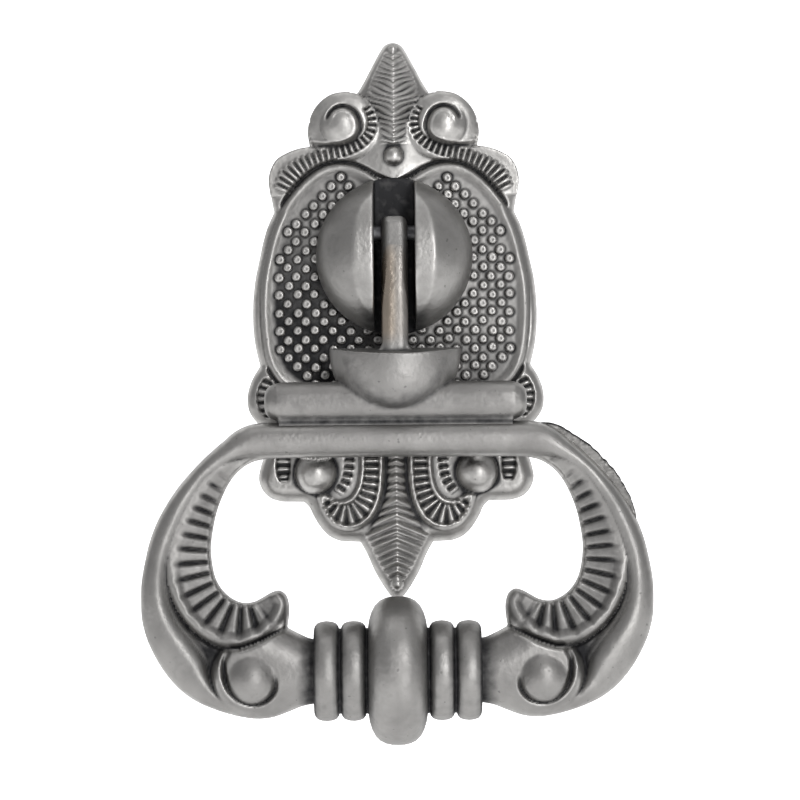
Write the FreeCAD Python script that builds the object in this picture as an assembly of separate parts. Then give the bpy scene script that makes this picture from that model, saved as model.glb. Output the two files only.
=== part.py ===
"""A cast drop pull: an ornate backplate, a slotted post, its pivot pin and a swinging bail with a turned grip.

Millimetres, +Z up. The front faces -Y, and the back of the plate lies on y = 0. The origin is the mouth of the
post's threaded hole. Depth means the distance in front of the back of the plate, so y is minus the depth.
"""

import FreeCAD, Part
import math
import os
from FreeCAD import Vector

# Backplate: thickness, from the back
PLATE_EDGE = 2.2
EDGE_DRAFT = 1.0
FIELD_DEPTH = 3.0
RIM_HEIGHT = 0.45
RIM_WIDTH = 1.0

# Backplate: hollow in the back
HOLLOW_DEPTH = 0.9
HOLLOW_HALF_WIDTH = 13.5
HOLLOW_HALF_HEIGHT = 11.0
HOLLOW_CENTRE_Z = -2.5
BOSS_RADIUS = 5.4
HOLLOW_SIDES = 20

# Backplate: outline of the right half, from the bottom spire up, as x and z
TIP_LOW = ((0.0, -44.6), (1.15, -43.9))
SPIRE_LOW = ((1.15, -43.9), (3.0, -40.9), (4.6, -37.2))
LOBE_LOW = ((4.6, -37.2), (9.3, -36.0), (11.8, -31.9))
LEDGE = ((11.8, -31.9), (15.0, -31.9))
LOBE_OUTER = ((15.0, -31.9), (17.8, -29.7), (17.1, -25.4))
WAIST = ((17.1, -25.4), (16.6, -23.8), (17.3, -22.3))
LOBE_SIDE = ((17.3, -22.3), (19.4, -18.3), (17.6, -14.1))
OVAL_SIDE = ((17.6, -14.1), (18.5, -10.2), (18.5, -5.6))
OVAL_SHOULDER = ((18.5, -5.6), (17.6, 0.6), (15.6, 6.2))
WING = ((15.6, 6.2), (16.4, 9.6), (15.3, 12.7))
WING_TOP = ((15.3, 12.7), (13.3, 14.0), (10.8, 14.4))
VOLUTE_EDGE = ((10.8, 14.4), (10.2, 19.6), (4.7, 21.4))
SPIRE_TOP = ((4.7, 21.4), (3.1, 24.2), (1.6, 26.8))
TIP_TOP = ((1.6, 26.8), (0.0, 28.1))

# Backplate: outline of the raised, beaded field, right half, from the foot up to the cusp
HEART_FOOT = ((0.0, -19.2), (9.0, -18.7), (15.2, -16.4))
HEART_SIDE = ((15.2, -16.4), (17.2, -12.2), (17.6, -6.6))
HEART_SHOULDER = ((17.6, -6.6), (16.7, 0.6), (14.2, 7.2))
HEART_CROWN = ((14.2, 7.2), (11.5, 10.6), (7.6, 12.2))
HEART_CUSP = ((7.6, 12.2), (3.6, 11.4), (0.0, 9.4))

# Beads of the field
BEAD_RADIUS = 0.66
BEAD_TOP_RADIUS = 0.36
BEAD_HEIGHT = 0.75
BEAD_PITCH = 2.3
BEAD_ROW = 1.17
BEAD_SIDES = 5
BEAD_RIM_GAP = 0.85
BEAD_DOME_GAP = 0.9

# Spires of the plate: keel sections as z, half width and ridge depth, and their chevron ribs
KEEL_TOP = ((15.2, 1.9, 4.5), (18.2, 2.1, 4.8), (20.8, 3.6, 5.0), (23.6, 2.4, 4.3), (26.7, 0.9, 3.1))
KEEL_LOW = ((-26.0, 1.3, 4.0), (-30.5, 1.3, 4.3), (-36.0, 4.1, 5.0), (-39.0, 2.7, 4.4), (-42.6, 0.9, 3.1))
KEEL_SIDE = 2.5
CHEVRON_PITCH = 0.9
CHEVRON_WIDTH = 0.46
CHEVRON_HEIGHT = 0.28
CHEVRON_SLOPE = 0.75

# Volutes of the plate
LOBE_HEIGHT = 1.4
VOLUTE_CENTRE = (6.4, 16.7)
VOLUTE_RADIUS = 4.1
VOLUTE_SIDES = 18
VOLUTE_GROOVE = 0.75
VOLUTE_GROOVE_TURN = (5, 300)
BULB_CENTRE = (6.7, 17.2)
BULB_RADIUS = 2.5
BULB_TOP = 5.5
PEARL_CENTRE = (0.0, 13.1)
PEARL_RADIUS = 1.1

# Leaf bands and crescents of the plate: routes as x and z
LEAF_ROUTE = ((3.4, 15.2), (5.0, 13.9), (8.0, 13.3), (11.0, 12.6), (13.3, 11.2), (14.6, 8.6))
LEAF_RIBS = 16
LEAF_WIDTH = (1.0, 2.3)
CRESCENT_ROUTE = ((3.0, -27.5), (3.6, -31.0), (5.2, -33.6), (7.2, -34.5), (9.4, -33.6), (11.0, -31.4))
CRESCENT_RIBS = 12
CRESCENT_WIDTH = (1.7, 2.0)
CRESCENT_RIM = ((1.9, -27.5), (2.4, -31.4), (4.0, -34.4), (6.7, -35.4), (9.3, -33.9), (10.6, -31.2))
CRESCENT_LIP = ((4.3, -25.4), (4.6, -29.4), (6.2, -31.7), (8.0, -32.0), (9.4, -30.9))
CRESCENT_RIM_WIDTH = 0.55
CRESCENT_RIM_HEIGHT = 1.0
CRESCENT_RIM_STEPS = 6
INNER_ROUTE = ((5.9, -25.8), (6.3, -28.3), (7.6, -30.6))
INNER_RIBS = 6
INNER_WIDTH = (1.4, 1.4)
SIDE_ROUTE = ((16.4, -20.3), (17.2, -18.2), (16.5, -15.8))
SIDE_RIBS = 6
OUTER_ROUTE = ((14.9, -30.0), (15.6, -28.3), (14.9, -26.2))
OUTER_RIBS = 5
SIDE_WIDTH = (1.9, 1.9)
RIB_BASE = 0.44
RIB_HEIGHT = 0.55
BALL_CENTRE = (10.5, -28.1)
BALL_RADIUS = 2.8
BALL_TOP = 5.5

# Slotted post
DOME_RADIUS = 10.2
DOME_CENTRE_DEPTH = 3.9
LAND_RADIUS = 9.5
LAND_EDGE = 5.3
DOME_TIERS = 4
DOME_SIDES = 40
DOME_END = math.radians(7)
SLOT_WIDTH = 5.3
SLOT_FLOOR = 4.8
FOOT_RADIUS = 7.4
FOOT_SIDES = 20
RIM_GAP = 0.05
SHANK_RADIUS = 3.2
SHANK_CLEARANCE = 0.1
THREAD_RADIUS = 1.65
THREAD_LENGTH = 4.2

# Pivot pin
PIN_RADIUS = 1.0
PIN_DEPTH = 7.2
PIN_Z = 2.8
PIN_CLEARANCE = 0.07
PIN_RECESS = 0.1

# Bail: middle plane, tongue and half-moon
BAIL_DEPTH = 9.8
EYE_RADIUS = 2.2
TONGUE_WIDTH = 3.4
TONGUE_THICKNESS = 3.6
TONGUE_BEND_Z = -4.5
TONGUE_EDGE = 0.5
TONGUE_LAP = 1.5
MOON_TOP = -12.4
MOON_HALF_WIDTH = 8.4
MOON_HEIGHT = 7.6
MOON_FRONT = 14.4
MOON_BACK = 7.9
MOON_FULLNESS = 0.35
MOON_TIERS = 5
MOON_FLATS = 12

# Bail: bars
UPPER_BAR_Z = -18.85
UPPER_BAR_HALF_LENGTH = 16.8
UPPER_BAR_HALF_HEIGHT = 2.55
UPPER_BAR_HALF_DEPTH = 2.1
UPPER_BAR_END = 1.3
UPPER_BAR_TAPER = 0.55
BAR_SIDES = 12
TOP_BAR_Z = -23.7
TOP_BAR_RADIUS = 2.25
TOP_BAR_HALF_LENGTH = 17.2
BAR_WEB_THICKNESS = 2.4
BAR_WEB_HALF_LENGTH = 15.0

# Bail: arm ridge as x, z, half width and half depth, which starts inside the end of the top bar
RIDGE_SIDES = 10
RIDGE_LAP = 0.2
RIDGE = (
    (TOP_BAR_HALF_LENGTH - RIDGE_LAP, TOP_BAR_Z, TOP_BAR_RADIUS, TOP_BAR_RADIUS),
    (20.2, -24.6, 2.2, 2.3),
    (23.3, -26.9, 2.0, 2.3),
    (26.1, -30.2, 1.75, 2.3),
    (28.4, -34.4, 1.7, 2.3),
    (29.9, -38.6, 1.9, 2.4),
    (30.7, -43.4, 2.2, 2.5),
    (30.1, -47.8, 2.35, 2.6),
    (28.1, -51.8, 2.5, 2.7),
    (25.0, -55.0, 2.5, 2.7),
    (21.3, -56.9, 2.3, 2.5),
    (17.6, -57.2, 2.1, 2.3),
)

# Bail: web of the leaf behind the ribs, as x and z
WEB_INNER = ((17.8, -26.0), (22.0, -30.3), (23.7, -36.0))
WEB_THROAT = ((23.7, -36.0), (23.5, -41.0), (20.6, -43.9))
WEB_CURL = ((20.6, -43.9), (18.2, -44.0), (16.0, -42.8))
WEB_TIP = ((16.0, -42.8), (14.2, -42.7), (13.7, -44.4))
WEB_CHIN = ((13.7, -44.4), (14.1, -46.9), (15.6, -49.0))
WEB_FOOT = ((15.6, -49.0), (20.0, -53.0))
WEB_SEAT = ((20.0, -53.0), (25.0, -53.5))
WEB_FLANK = ((25.0, -53.5), (29.9, -46.0), (29.6, -39.0))
WEB_OUTER = ((29.6, -39.0), (26.4, -31.2), (17.8, -24.2))
WEB_TOP = ((17.8, -24.2), (17.8, -26.0))
WEB = (
    WEB_INNER,
    WEB_THROAT,
    WEB_CURL,
    WEB_TIP,
    WEB_CHIN,
    WEB_FOOT,
    WEB_SEAT,
    WEB_FLANK,
    WEB_OUTER,
    WEB_TOP,
)
WEB_CHORDS = 5
WEB_BACK = 1.7
WEB_FRONT = 0.9
LEAF_RIM = ((28.6, -40.0), (27.0, -45.2), (23.4, -48.3), (19.6, -48.9), (16.4, -47.3), (14.9, -44.4))
LEAF_RIM_WIDTH = 0.8
LEAF_RIM_HEIGHT = 1.0
LEAF_RIM_STEPS = 10
ARM_ROUTE = ((21.4, -27.2), (24.0, -31.2), (25.7, -35.6), (26.0, -40.2), (24.3, -44.6), (20.5, -46.5), (16.7, -45.4))
ARM_RIBS = 19
ARM_WIDTH = (2.2, 4.2)
ARM_RIB_BASE = 0.95
ARM_RIB_HEIGHT = 0.95

# Bail: snail volutes beside the grip
SNAIL_CENTRE = (17.0, -53.55)
SNAIL_RADIUS = 5.6
SNAIL_HALF_DEPTH = 3.2
SNAIL_BALL = (18.5, -53.8)
SNAIL_BALL_RADIUS = 3.3
SNAIL_GROOVE_RADIUS = 4.0
SNAIL_GROOVE = 0.6
SNAIL_GROOVE_DEPTH = 1.4
SNAIL_GROOVE_TURN = (150, 250)
SNAIL_CHAMFER = 1.2
SNAIL_SIDES = 18
SNAIL_BALL_RISE = 1.0

# Grip: turned about an axis along X
GRIP_Z = -53.35
GRIP_SIDES = 22
BEAD_PROFILE = ((0.0, 9.5), (2.1, 9.1), (3.1, 7.9), (3.8, 5.65))
RING_PROFILE = ((-1.55, 5.65), (-0.9, 6.3), (0.9, 6.3), (1.55, 5.65))
RING_CENTRES = (5.65, 9.1)
NECK_PROFILE = ((10.7, 5.65), (11.0, 4.2), (13.0, 4.2))

ZERO = Vector(0, 0, 0)
ACROSS = Vector(1, 0, 0)
FORWARD = Vector(0, -1, 0)
SINK = 0.25
FLAT = 1e-6
CHORD_TURN = 0.3


def at(x, z, depth=0.0):
    return Vector(x, -depth, z)


def arc(points):
    return Part.Arc(*[at(*point) for point in points]).toShape()


def curve(points):
    spline = Part.BSplineCurve()
    spline.interpolate([at(*point) for point in points])
    return spline.toShape()


def line(points):
    return Part.LineSegment(at(*points[0]), at(*points[1])).toShape()


def mirrored(shape):
    return shape.mirror(ZERO, ACROSS)


def polygon(corners):
    return Part.Face(Part.makePolygon(list(corners) + [corners[0]]))


def skin(rings):
    """A closed solid with flat faces over rings of corners, where each ring has as many corners."""
    faces = [polygon(rings[0]), polygon(rings[-1])]
    for low, high in zip(rings, rings[1:]):
        for index, corner in enumerate(low):
            following = (index + 1) % len(low)
            across, opposite, up = low[following] - corner, high[following] - corner, high[index] - corner
            if abs(across.cross(opposite).dot(up)) < FLAT:
                faces.append(polygon([corner, low[following], high[following], high[index]]))
            else:
                faces.append(polygon([corner, low[following], high[following]]))
                faces.append(polygon([corner, high[following], high[index]]))
    shell = Part.makeShell(faces)
    shell.sewShape()
    solid = Part.makeSolid(shell)
    if solid.Volume < 0:
        solid.reverse()
    return solid


def raised(face, start, end):
    """The prism on a face of the x-z plane between two depths."""
    moved = face.copy()
    moved.translate(FORWARD * start)
    return moved.extrude(FORWARD * (end - start))


def between(stations, value, column):
    """A value from a table of stations, in proportion between its neighbours."""
    rows = sorted(stations)
    for low, high in zip(rows, rows[1:]):
        if value <= high[0]:
            break
    share = (value - low[0]) / (high[0] - low[0])
    return low[column] + share * (high[column] - low[column])


def rib(place, along, width, base, height, ground):
    """A ridge with a triangular section that lies across the direction along, on the ground depth."""
    foot = ground - SINK
    across = along.cross(FORWARD)
    start = place - across * (width / 2)
    low = start + FORWARD * foot
    corners = [low - along * (base / 2), low + along * (base / 2), start + FORWARD * (ground + height)]
    return polygon(corners).extrude(across * width)


def ribs_on_route(route, count, widths, base, height, ground):
    edge = curve(route)
    first, last = edge.ParameterRange
    ribs = []
    for index in range(count):
        share = (index + 0.5) / count
        parameter = edge.getParameterByLength(edge.Length * share)
        along = edge.tangentAt(parameter)
        width = widths[0] + (widths[1] - widths[0]) * share
        ribs.append(rib(edge.valueAt(parameter), along, width, base, height, ground))
    return ribs


def band(route, width, steps, start, end):
    """A strip of even width along a route, between two depths."""
    middle = curve(route)
    first, last = middle.ParameterRange
    sides = [[], []]
    for step in range(steps + 1):
        parameter = first + (last - first) * step / steps
        across = middle.tangentAt(parameter).cross(FORWARD) * (width / 2)
        place = middle.valueAt(parameter)
        sides[0].append(place - across)
        sides[1].insert(0, place + across)
    return raised(polygon(sides[0] + sides[1]), start, end)


def crescent_rims():
    """The raised edges on both sides of a ribbed crescent."""
    start = PLATE_EDGE - SINK
    end = PLATE_EDGE + CRESCENT_RIM_HEIGHT
    return [band(route, CRESCENT_RIM_WIDTH, CRESCENT_RIM_STEPS, start, end) for route in (CRESCENT_RIM, CRESCENT_LIP)]


def section(middle, side, front, half_width, half_height, sides):
    """The corners of an oval of straight flats about a middle point, in the plane of two directions."""
    corners = []
    for step in range(sides):
        angle = 2 * math.pi * step / sides
        corners.append(middle + side * (half_width * math.cos(angle)) + front * (half_height * math.sin(angle)))
    return corners


def turned(profile, middle, axis, sides):
    """A turned form with flats, from pairs of a distance along the axis and a radius."""
    side = Vector(0, 0, 1)
    other = axis.cross(side)
    return skin([section(middle + axis * along, side, other, radius, radius, sides) for along, radius in profile])


def ball_cap(centre, radius, top, ground, sides=12, tiers=3):
    """The front of a ball of the given radius in the x-z plane, from the ground depth to its top depth."""
    profile = [(0.0, radius)]
    for tier in range(1, tiers + 1):
        angle = math.radians(80) * tier / tiers
        profile.append(((top - ground) * math.sin(angle) / math.sin(math.radians(80)), radius * math.cos(angle)))
    return turned(profile, at(*centre, ground), FORWARD, sides)


def groove_sector(centre, radius, width, start, end, from_angle, sweep, steps=12):
    """A ring sector of straight flats between two depths, for a groove round a volute."""
    corners = []
    for side, order in ((-1, range(steps + 1)), (1, range(steps, -1, -1))):
        for step in order:
            angle = math.radians(from_angle + sweep * step / steps)
            reach = radius + side * width / 2
            corners.append(at(centre[0] + reach * math.cos(angle), centre[1] + reach * math.sin(angle)))
    return raised(polygon(corners), start, end)


OUTLINE = (
    TIP_LOW,
    SPIRE_LOW,
    LOBE_LOW,
    LEDGE,
    LOBE_OUTER,
    WAIST,
    LOBE_SIDE,
    OVAL_SIDE,
    OVAL_SHOULDER,
    WING,
    WING_TOP,
    VOLUTE_EDGE,
    SPIRE_TOP,
    TIP_TOP,
)
HEART = (HEART_FOOT, HEART_SIDE, HEART_SHOULDER, HEART_CROWN, HEART_CUSP)


def stretch(points):
    """The edge through two or three points, straight or round."""
    return arc(points) if len(points) == 3 else line(points)


def inset_points(stretches, distance):
    """The points of each stretch moved inwards, with a mitre where two stretches meet."""
    inward = []
    for points in stretches:
        edge = stretch(points)
        tangents = [edge.tangentAt(edge.Curve.parameter(at(*point))) for point in points]
        inward.append([FORWARD.cross(tangent) for tangent in tangents])
    moved = []
    for index, points in enumerate(stretches):
        places = []
        for number, (point, normal) in enumerate(zip(points, inward[index])):
            other = normal
            if number == 0:
                other = inward[index - 1][-1] if index else Vector(-normal.x, 0, normal.z)
            if number == len(points) - 1:
                is_last = index == len(stretches) - 1
                other = Vector(-normal.x, 0, normal.z) if is_last else inward[index + 1][0]
            place = at(*point) + (normal + other) * (distance / (1 + normal.dot(other)))
            places.append((place.x, place.z))
        moved.append(places)
    return moved


def outline_corners(stretches, inset, depth):
    """The corners of a closed outline at a depth, with each round stretch in chords of equal turn."""
    right = []
    for points, moved in zip(stretches, inset_points(stretches, inset)):
        edge = stretch(points)
        turn = edge.tangentAt(edge.FirstParameter).getAngle(edge.tangentAt(edge.LastParameter))
        chords = max(1, math.ceil(turn / CHORD_TURN)) if len(points) == 3 else 1
        places = stretch(moved).discretize(chords + 1)
        right += places if not right else places[1:]
    right = [Vector(place.x, -depth, place.z) for place in right]
    right[0].x = right[-1].x = 0.0
    left = [Vector(-place.x, place.y, place.z) for place in right[-2:0:-1]]
    return right + left


def heart_prism(inset, start, end):
    return skin([outline_corners(HEART, inset, depth) for depth in (start, end)])


def plate_blank():
    """The plain plate, whose edge leans back all the way round."""
    return skin([outline_corners(OUTLINE, 0.0, 0.0), outline_corners(OUTLINE, EDGE_DRAFT, PLATE_EDGE)])


def beaded_field():
    top = FIELD_DEPTH + RIM_HEIGHT
    field = heart_prism(0.0, PLATE_EDGE - SINK, top)
    return field.cut(heart_prism(RIM_WIDTH, FIELD_DEPTH, top + SINK))


def bead(x, z):
    profile = ((-SINK, BEAD_RADIUS), (BEAD_HEIGHT, BEAD_TOP_RADIUS))
    return turned(profile, at(x, z, FIELD_DEPTH), FORWARD, BEAD_SIDES)


def beads():
    room = polygon(outline_corners(HEART, RIM_WIDTH + BEAD_RIM_GAP, 0.0))
    box = room.BoundBox
    keep_off = DOME_RADIUS + BEAD_DOME_GAP
    found = []
    rows = int((box.ZMax - box.ZMin) / BEAD_ROW) + 1
    columns = int(box.XMax / BEAD_PITCH) + 1
    for row in range(rows):
        z = box.ZMax - BEAD_ROW * (row + 0.3)
        shift = BEAD_PITCH / 2 * (row % 2)
        for column in range(-columns, columns + 1):
            x = column * BEAD_PITCH + shift
            if math.hypot(x, z) > keep_off and room.isInside(at(x, z), 0.01, True):
                found.append(bead(x, z))
    return found


def keel(stations):
    rings = []
    for z, half_width, ridge in stations:
        foot = KEEL_SIDE - SINK
        rings.append([at(-half_width, z, foot), at(half_width, z, foot), at(0, z, ridge)])
    return skin(rings)


def chevrons(stations, direction):
    """V-shaped ribs down the flanks of a keel, whose arms rise in the direction +1 or fall in -1."""
    heights = sorted(row[0] for row in stations)
    count = int((heights[-1] - heights[0]) / CHEVRON_PITCH)
    ribs = []
    for index in range(count):
        z = heights[0] + CHEVRON_PITCH * (index + 0.5)
        reach = between(stations, z, 1)
        end_z = z + direction * reach * CHEVRON_SLOPE
        if end_z > heights[-1] or end_z < heights[0]:
            continue
        reach = between(stations, end_z, 1)
        ridge = between(stations, z, 2)
        foot = KEEL_SIDE - SINK
        half = CHEVRON_WIDTH / 2
        corners = [at(0, z - half, ridge - SINK), at(0, z + half, ridge - SINK), at(0, z, ridge + CHEVRON_HEIGHT)]
        arm = polygon(corners).extrude(at(reach, direction * reach * CHEVRON_SLOPE, foot - ridge))
        ribs += [arm, mirrored(arm)]
    return ribs


def volute_lobe():
    ground = PLATE_EDGE - SINK
    height = LOBE_HEIGHT + SINK
    profile = ((0.0, VOLUTE_RADIUS + 0.3), (height - 0.4, VOLUTE_RADIUS), (height, VOLUTE_RADIUS - 0.5))
    lobe = turned(profile, at(*VOLUTE_CENTRE, ground), FORWARD, VOLUTE_SIDES)
    reach = BULB_RADIUS + VOLUTE_GROOVE / 2
    groove = groove_sector(BULB_CENTRE, reach, VOLUTE_GROOVE, PLATE_EDGE, PLATE_EDGE + 2 * height, *VOLUTE_GROOVE_TURN)
    return lobe.cut(groove).fuse(ball_cap(BULB_CENTRE, BULB_RADIUS, BULB_TOP, ground))


def plate_ribs():
    ground = PLATE_EDGE
    ribs = ribs_on_route(LEAF_ROUTE, LEAF_RIBS, LEAF_WIDTH, RIB_BASE, RIB_HEIGHT, ground)
    ribs += ribs_on_route(CRESCENT_ROUTE, CRESCENT_RIBS, CRESCENT_WIDTH, RIB_BASE, RIB_HEIGHT, ground)
    ribs += ribs_on_route(INNER_ROUTE, INNER_RIBS, INNER_WIDTH, RIB_BASE, RIB_HEIGHT, ground)
    ribs += ribs_on_route(SIDE_ROUTE, SIDE_RIBS, SIDE_WIDTH, RIB_BASE, RIB_HEIGHT, ground)
    ribs += ribs_on_route(OUTER_ROUTE, OUTER_RIBS, SIDE_WIDTH, RIB_BASE, RIB_HEIGHT, ground)
    return ribs


def backplate():
    ground = PLATE_EDGE - SINK
    body = plate_blank()
    right = [volute_lobe(), ball_cap(BALL_CENTRE, BALL_RADIUS, BALL_TOP, ground)]
    right += plate_ribs() + crescent_rims()
    parts = [beaded_field(), keel(KEEL_TOP), keel(KEEL_LOW)]
    parts += [ball_cap(PEARL_CENTRE, PEARL_RADIUS, PLATE_EDGE + PEARL_RADIUS, ground, 8, 2)]
    parts += right + [mirrored(shape) for shape in right]
    parts += chevrons(KEEL_TOP, 1) + chevrons(KEEL_LOW, -1)
    body = body.multiFuse(parts + beads())
    up = Vector(0, 0, 1)
    oval = section(at(0, HOLLOW_CENTRE_Z), ACROSS, up, HOLLOW_HALF_WIDTH, HOLLOW_HALF_HEIGHT, HOLLOW_SIDES)
    boss = turned(((0.0, BOSS_RADIUS), (HOLLOW_DEPTH, BOSS_RADIUS)), ZERO, FORWARD, HOLLOW_SIDES)
    hollow = raised(polygon(oval), 0.0, HOLLOW_DEPTH).cut(boss)
    hole = Part.makeCylinder(SHANK_RADIUS + SHANK_CLEARANCE, 2 * FIELD_DEPTH, ZERO, FORWARD)
    return body.cut([hollow, hole])


def dome():
    """The head of the post, turned about an axis along X, with a cone for a land on each side of the slot."""
    start = math.acos(LAND_EDGE / DOME_RADIUS)
    half = [(SLOT_WIDTH / 2, LAND_RADIUS)]
    for step in range(DOME_TIERS + 1):
        angle = start + (DOME_END - start) * step / DOME_TIERS
        half.append((DOME_RADIUS * math.cos(angle), DOME_RADIUS * math.sin(angle)))
    profile = [(-x, radius) for x, radius in half[::-1]] + half
    return turned(profile, at(0, 0, DOME_CENTRE_DEPTH), ACROSS, DOME_SIDES)


def slotted_post():
    span = 3 * DOME_RADIUS
    base = FIELD_DEPTH + RIM_HEIGHT + RIM_GAP
    behind = Part.makeBox(span, span, span, Vector(-span / 2, -base, -span / 2))
    slot = Part.makeBox(SLOT_WIDTH, span, span, Vector(-SLOT_WIDTH / 2, -SLOT_FLOOR - span, -span / 2))
    head = dome().cut([behind, slot])
    foot = turned(((FIELD_DEPTH, FOOT_RADIUS), (base + SINK, FOOT_RADIUS)), ZERO, FORWARD, FOOT_SIDES)
    shank = Part.makeCylinder(SHANK_RADIUS, base, ZERO, FORWARD)
    thread = Part.makeCylinder(THREAD_RADIUS, THREAD_LENGTH, ZERO, FORWARD)
    return head.multiFuse([foot, shank]).cut([thread, pin_rod(PIN_RADIUS, DOME_RADIUS)]).removeSplitter()


def pin_rod(radius, half_length):
    return Part.makeCylinder(radius, 2 * half_length, at(-half_length, PIN_Z, PIN_DEPTH), ACROSS)


def pivot_pin():
    """A plain rod whose flat ends lie just inside the dome."""
    reach = math.hypot(PIN_DEPTH - DOME_CENTRE_DEPTH, PIN_Z) + PIN_RADIUS
    return pin_rod(PIN_RADIUS, math.sqrt(DOME_RADIUS**2 - reach**2) - PIN_RECESS)


def is_front_edge(edge, corners):
    """Whether an edge runs between two of the corners, as seen from the side."""
    ends = [vertex.Point for vertex in edge.Vertexes]
    matches = [any(math.hypot(end.y - corner.y, end.z - corner.z) < FLAT for corner in corners) for end in ends]
    return all(matches) and abs(ends[0].x - ends[1].x) < FLAT


def tongue():
    """The flat bar from the eye down to the half-moon, as a profile from the side that is extruded across."""
    front = BAIL_DEPTH + TONGUE_THICKNESS / 2
    back = BAIL_DEPTH - TONGUE_THICKNESS / 2
    end_z = MOON_TOP - TONGUE_LAP
    eye = Part.makeCylinder(EYE_RADIUS, TONGUE_WIDTH, at(-TONGUE_WIDTH / 2, PIN_Z, PIN_DEPTH), ACROSS)
    side = [
        (PIN_Z + EYE_RADIUS * 0.3, PIN_DEPTH + EYE_RADIUS * 0.95),
        (TONGUE_BEND_Z, front),
        (end_z, front),
        (end_z, back),
        (TONGUE_BEND_Z, back),
        (PIN_Z - EYE_RADIUS * 0.3, PIN_DEPTH - EYE_RADIUS * 0.95),
    ]
    corners = [at(-TONGUE_WIDTH / 2, z, depth) for z, depth in side]
    bar = polygon(corners).extrude(ACROSS * TONGUE_WIDTH)
    foremost = [edge for edge in bar.Edges if is_front_edge(edge, corners[:3])]
    bar = bar.makeChamfer(TONGUE_EDGE, foremost)
    return eye.fuse(bar).removeSplitter()


def half_moon():
    """A half-moon with its flat side up, lofted down through half ovals, whose front stays full to its lower rim."""
    rings = []
    for tier in range(MOON_TIERS + 1):
        angle = math.radians(84) * tier / MOON_TIERS
        z = MOON_TOP - MOON_HEIGHT * math.sin(angle)
        wide = MOON_HALF_WIDTH * math.cos(angle)
        deep = (MOON_FRONT - MOON_BACK) * math.cos(angle) ** MOON_FULLNESS
        turns = [math.pi * step / MOON_FLATS for step in range(MOON_FLATS + 1)]
        rings.append([at(wide * math.cos(turn), z, MOON_BACK + deep * math.sin(turn)) for turn in turns])
    return skin(rings)


def upper_bar():
    """A pillow section that runs between two tapered ends."""
    inner = UPPER_BAR_HALF_LENGTH - UPPER_BAR_END
    stations = (
        (-UPPER_BAR_HALF_LENGTH, UPPER_BAR_TAPER),
        (-inner, 1.0),
        (inner, 1.0),
        (UPPER_BAR_HALF_LENGTH, UPPER_BAR_TAPER),
    )
    rings = []
    for x, share in stations:
        middle = at(x, UPPER_BAR_Z, BAIL_DEPTH)
        high, deep = UPPER_BAR_HALF_HEIGHT * share, UPPER_BAR_HALF_DEPTH * share
        rings.append(section(middle, Vector(0, 0, 1), FORWARD, high, deep, BAR_SIDES))
    return skin(rings)


def bar_web():
    """The metal between the two bars, which leaves only a fine groove in front and behind."""
    height = UPPER_BAR_Z - TOP_BAR_Z
    corner = at(-BAR_WEB_HALF_LENGTH, TOP_BAR_Z, BAIL_DEPTH + BAR_WEB_THICKNESS / 2)
    return Part.makeBox(2 * BAR_WEB_HALF_LENGTH, BAR_WEB_THICKNESS, height, corner)


def ridge():
    """The rounded outer ridge of one arm, lofted through ovals that stand square to its path."""
    path = curve([(x, z) for x, z, half_width, half_depth in RIDGE])
    rings = []
    for x, z, half_width, half_depth in RIDGE:
        place = at(x, z)
        along = path.tangentAt(path.Curve.parameter(place))
        across = along.cross(FORWARD)
        middle = place + FORWARD * BAIL_DEPTH
        rings.append(section(middle, across, FORWARD, half_width, half_depth, RIDGE_SIDES))
    return skin(rings)


def web():
    corners = []
    for points in WEB:
        edge = stretch(points)
        corners += edge.discretize(WEB_CHORDS + 1 if len(points) == 3 else 2)[:-1]
    return raised(polygon(corners), BAIL_DEPTH - WEB_BACK, BAIL_DEPTH + WEB_FRONT)


def leaf_rim():
    start = BAIL_DEPTH + WEB_FRONT - SINK
    return band(LEAF_RIM, LEAF_RIM_WIDTH, LEAF_RIM_STEPS, start, start + SINK + LEAF_RIM_HEIGHT)


def snail():
    half = SNAIL_HALF_DEPTH
    face = SNAIL_RADIUS - SNAIL_CHAMFER
    flank = half - SNAIL_CHAMFER
    profile = ((-half, face), (-flank, SNAIL_RADIUS), (flank, SNAIL_RADIUS), (half, face))
    body = turned(profile, at(*SNAIL_CENTRE, BAIL_DEPTH), FORWARD, SNAIL_SIDES)
    front = BAIL_DEPTH + half
    floor = front - SNAIL_GROOVE_DEPTH
    groove = groove_sector(SNAIL_BALL, SNAIL_GROOVE_RADIUS, SNAIL_GROOVE, floor, front + half, *SNAIL_GROOVE_TURN)
    ball = ball_cap(SNAIL_BALL, SNAIL_BALL_RADIUS, front + SNAIL_BALL_RISE, BAIL_DEPTH)
    return body.cut(groove).fuse(ball)


def grip():
    """The turned grip: a wide bead between pairs of rings, and a neck that runs into each volute."""
    half = list(BEAD_PROFILE)
    for centre in RING_CENTRES:
        half += [(centre + x, radius) for x, radius in RING_PROFILE]
    half += list(NECK_PROFILE)
    profile = [(-x, radius) for x, radius in half[:0:-1]] + half
    return turned(profile, at(0, GRIP_Z, BAIL_DEPTH), ACROSS, GRIP_SIDES)


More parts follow.
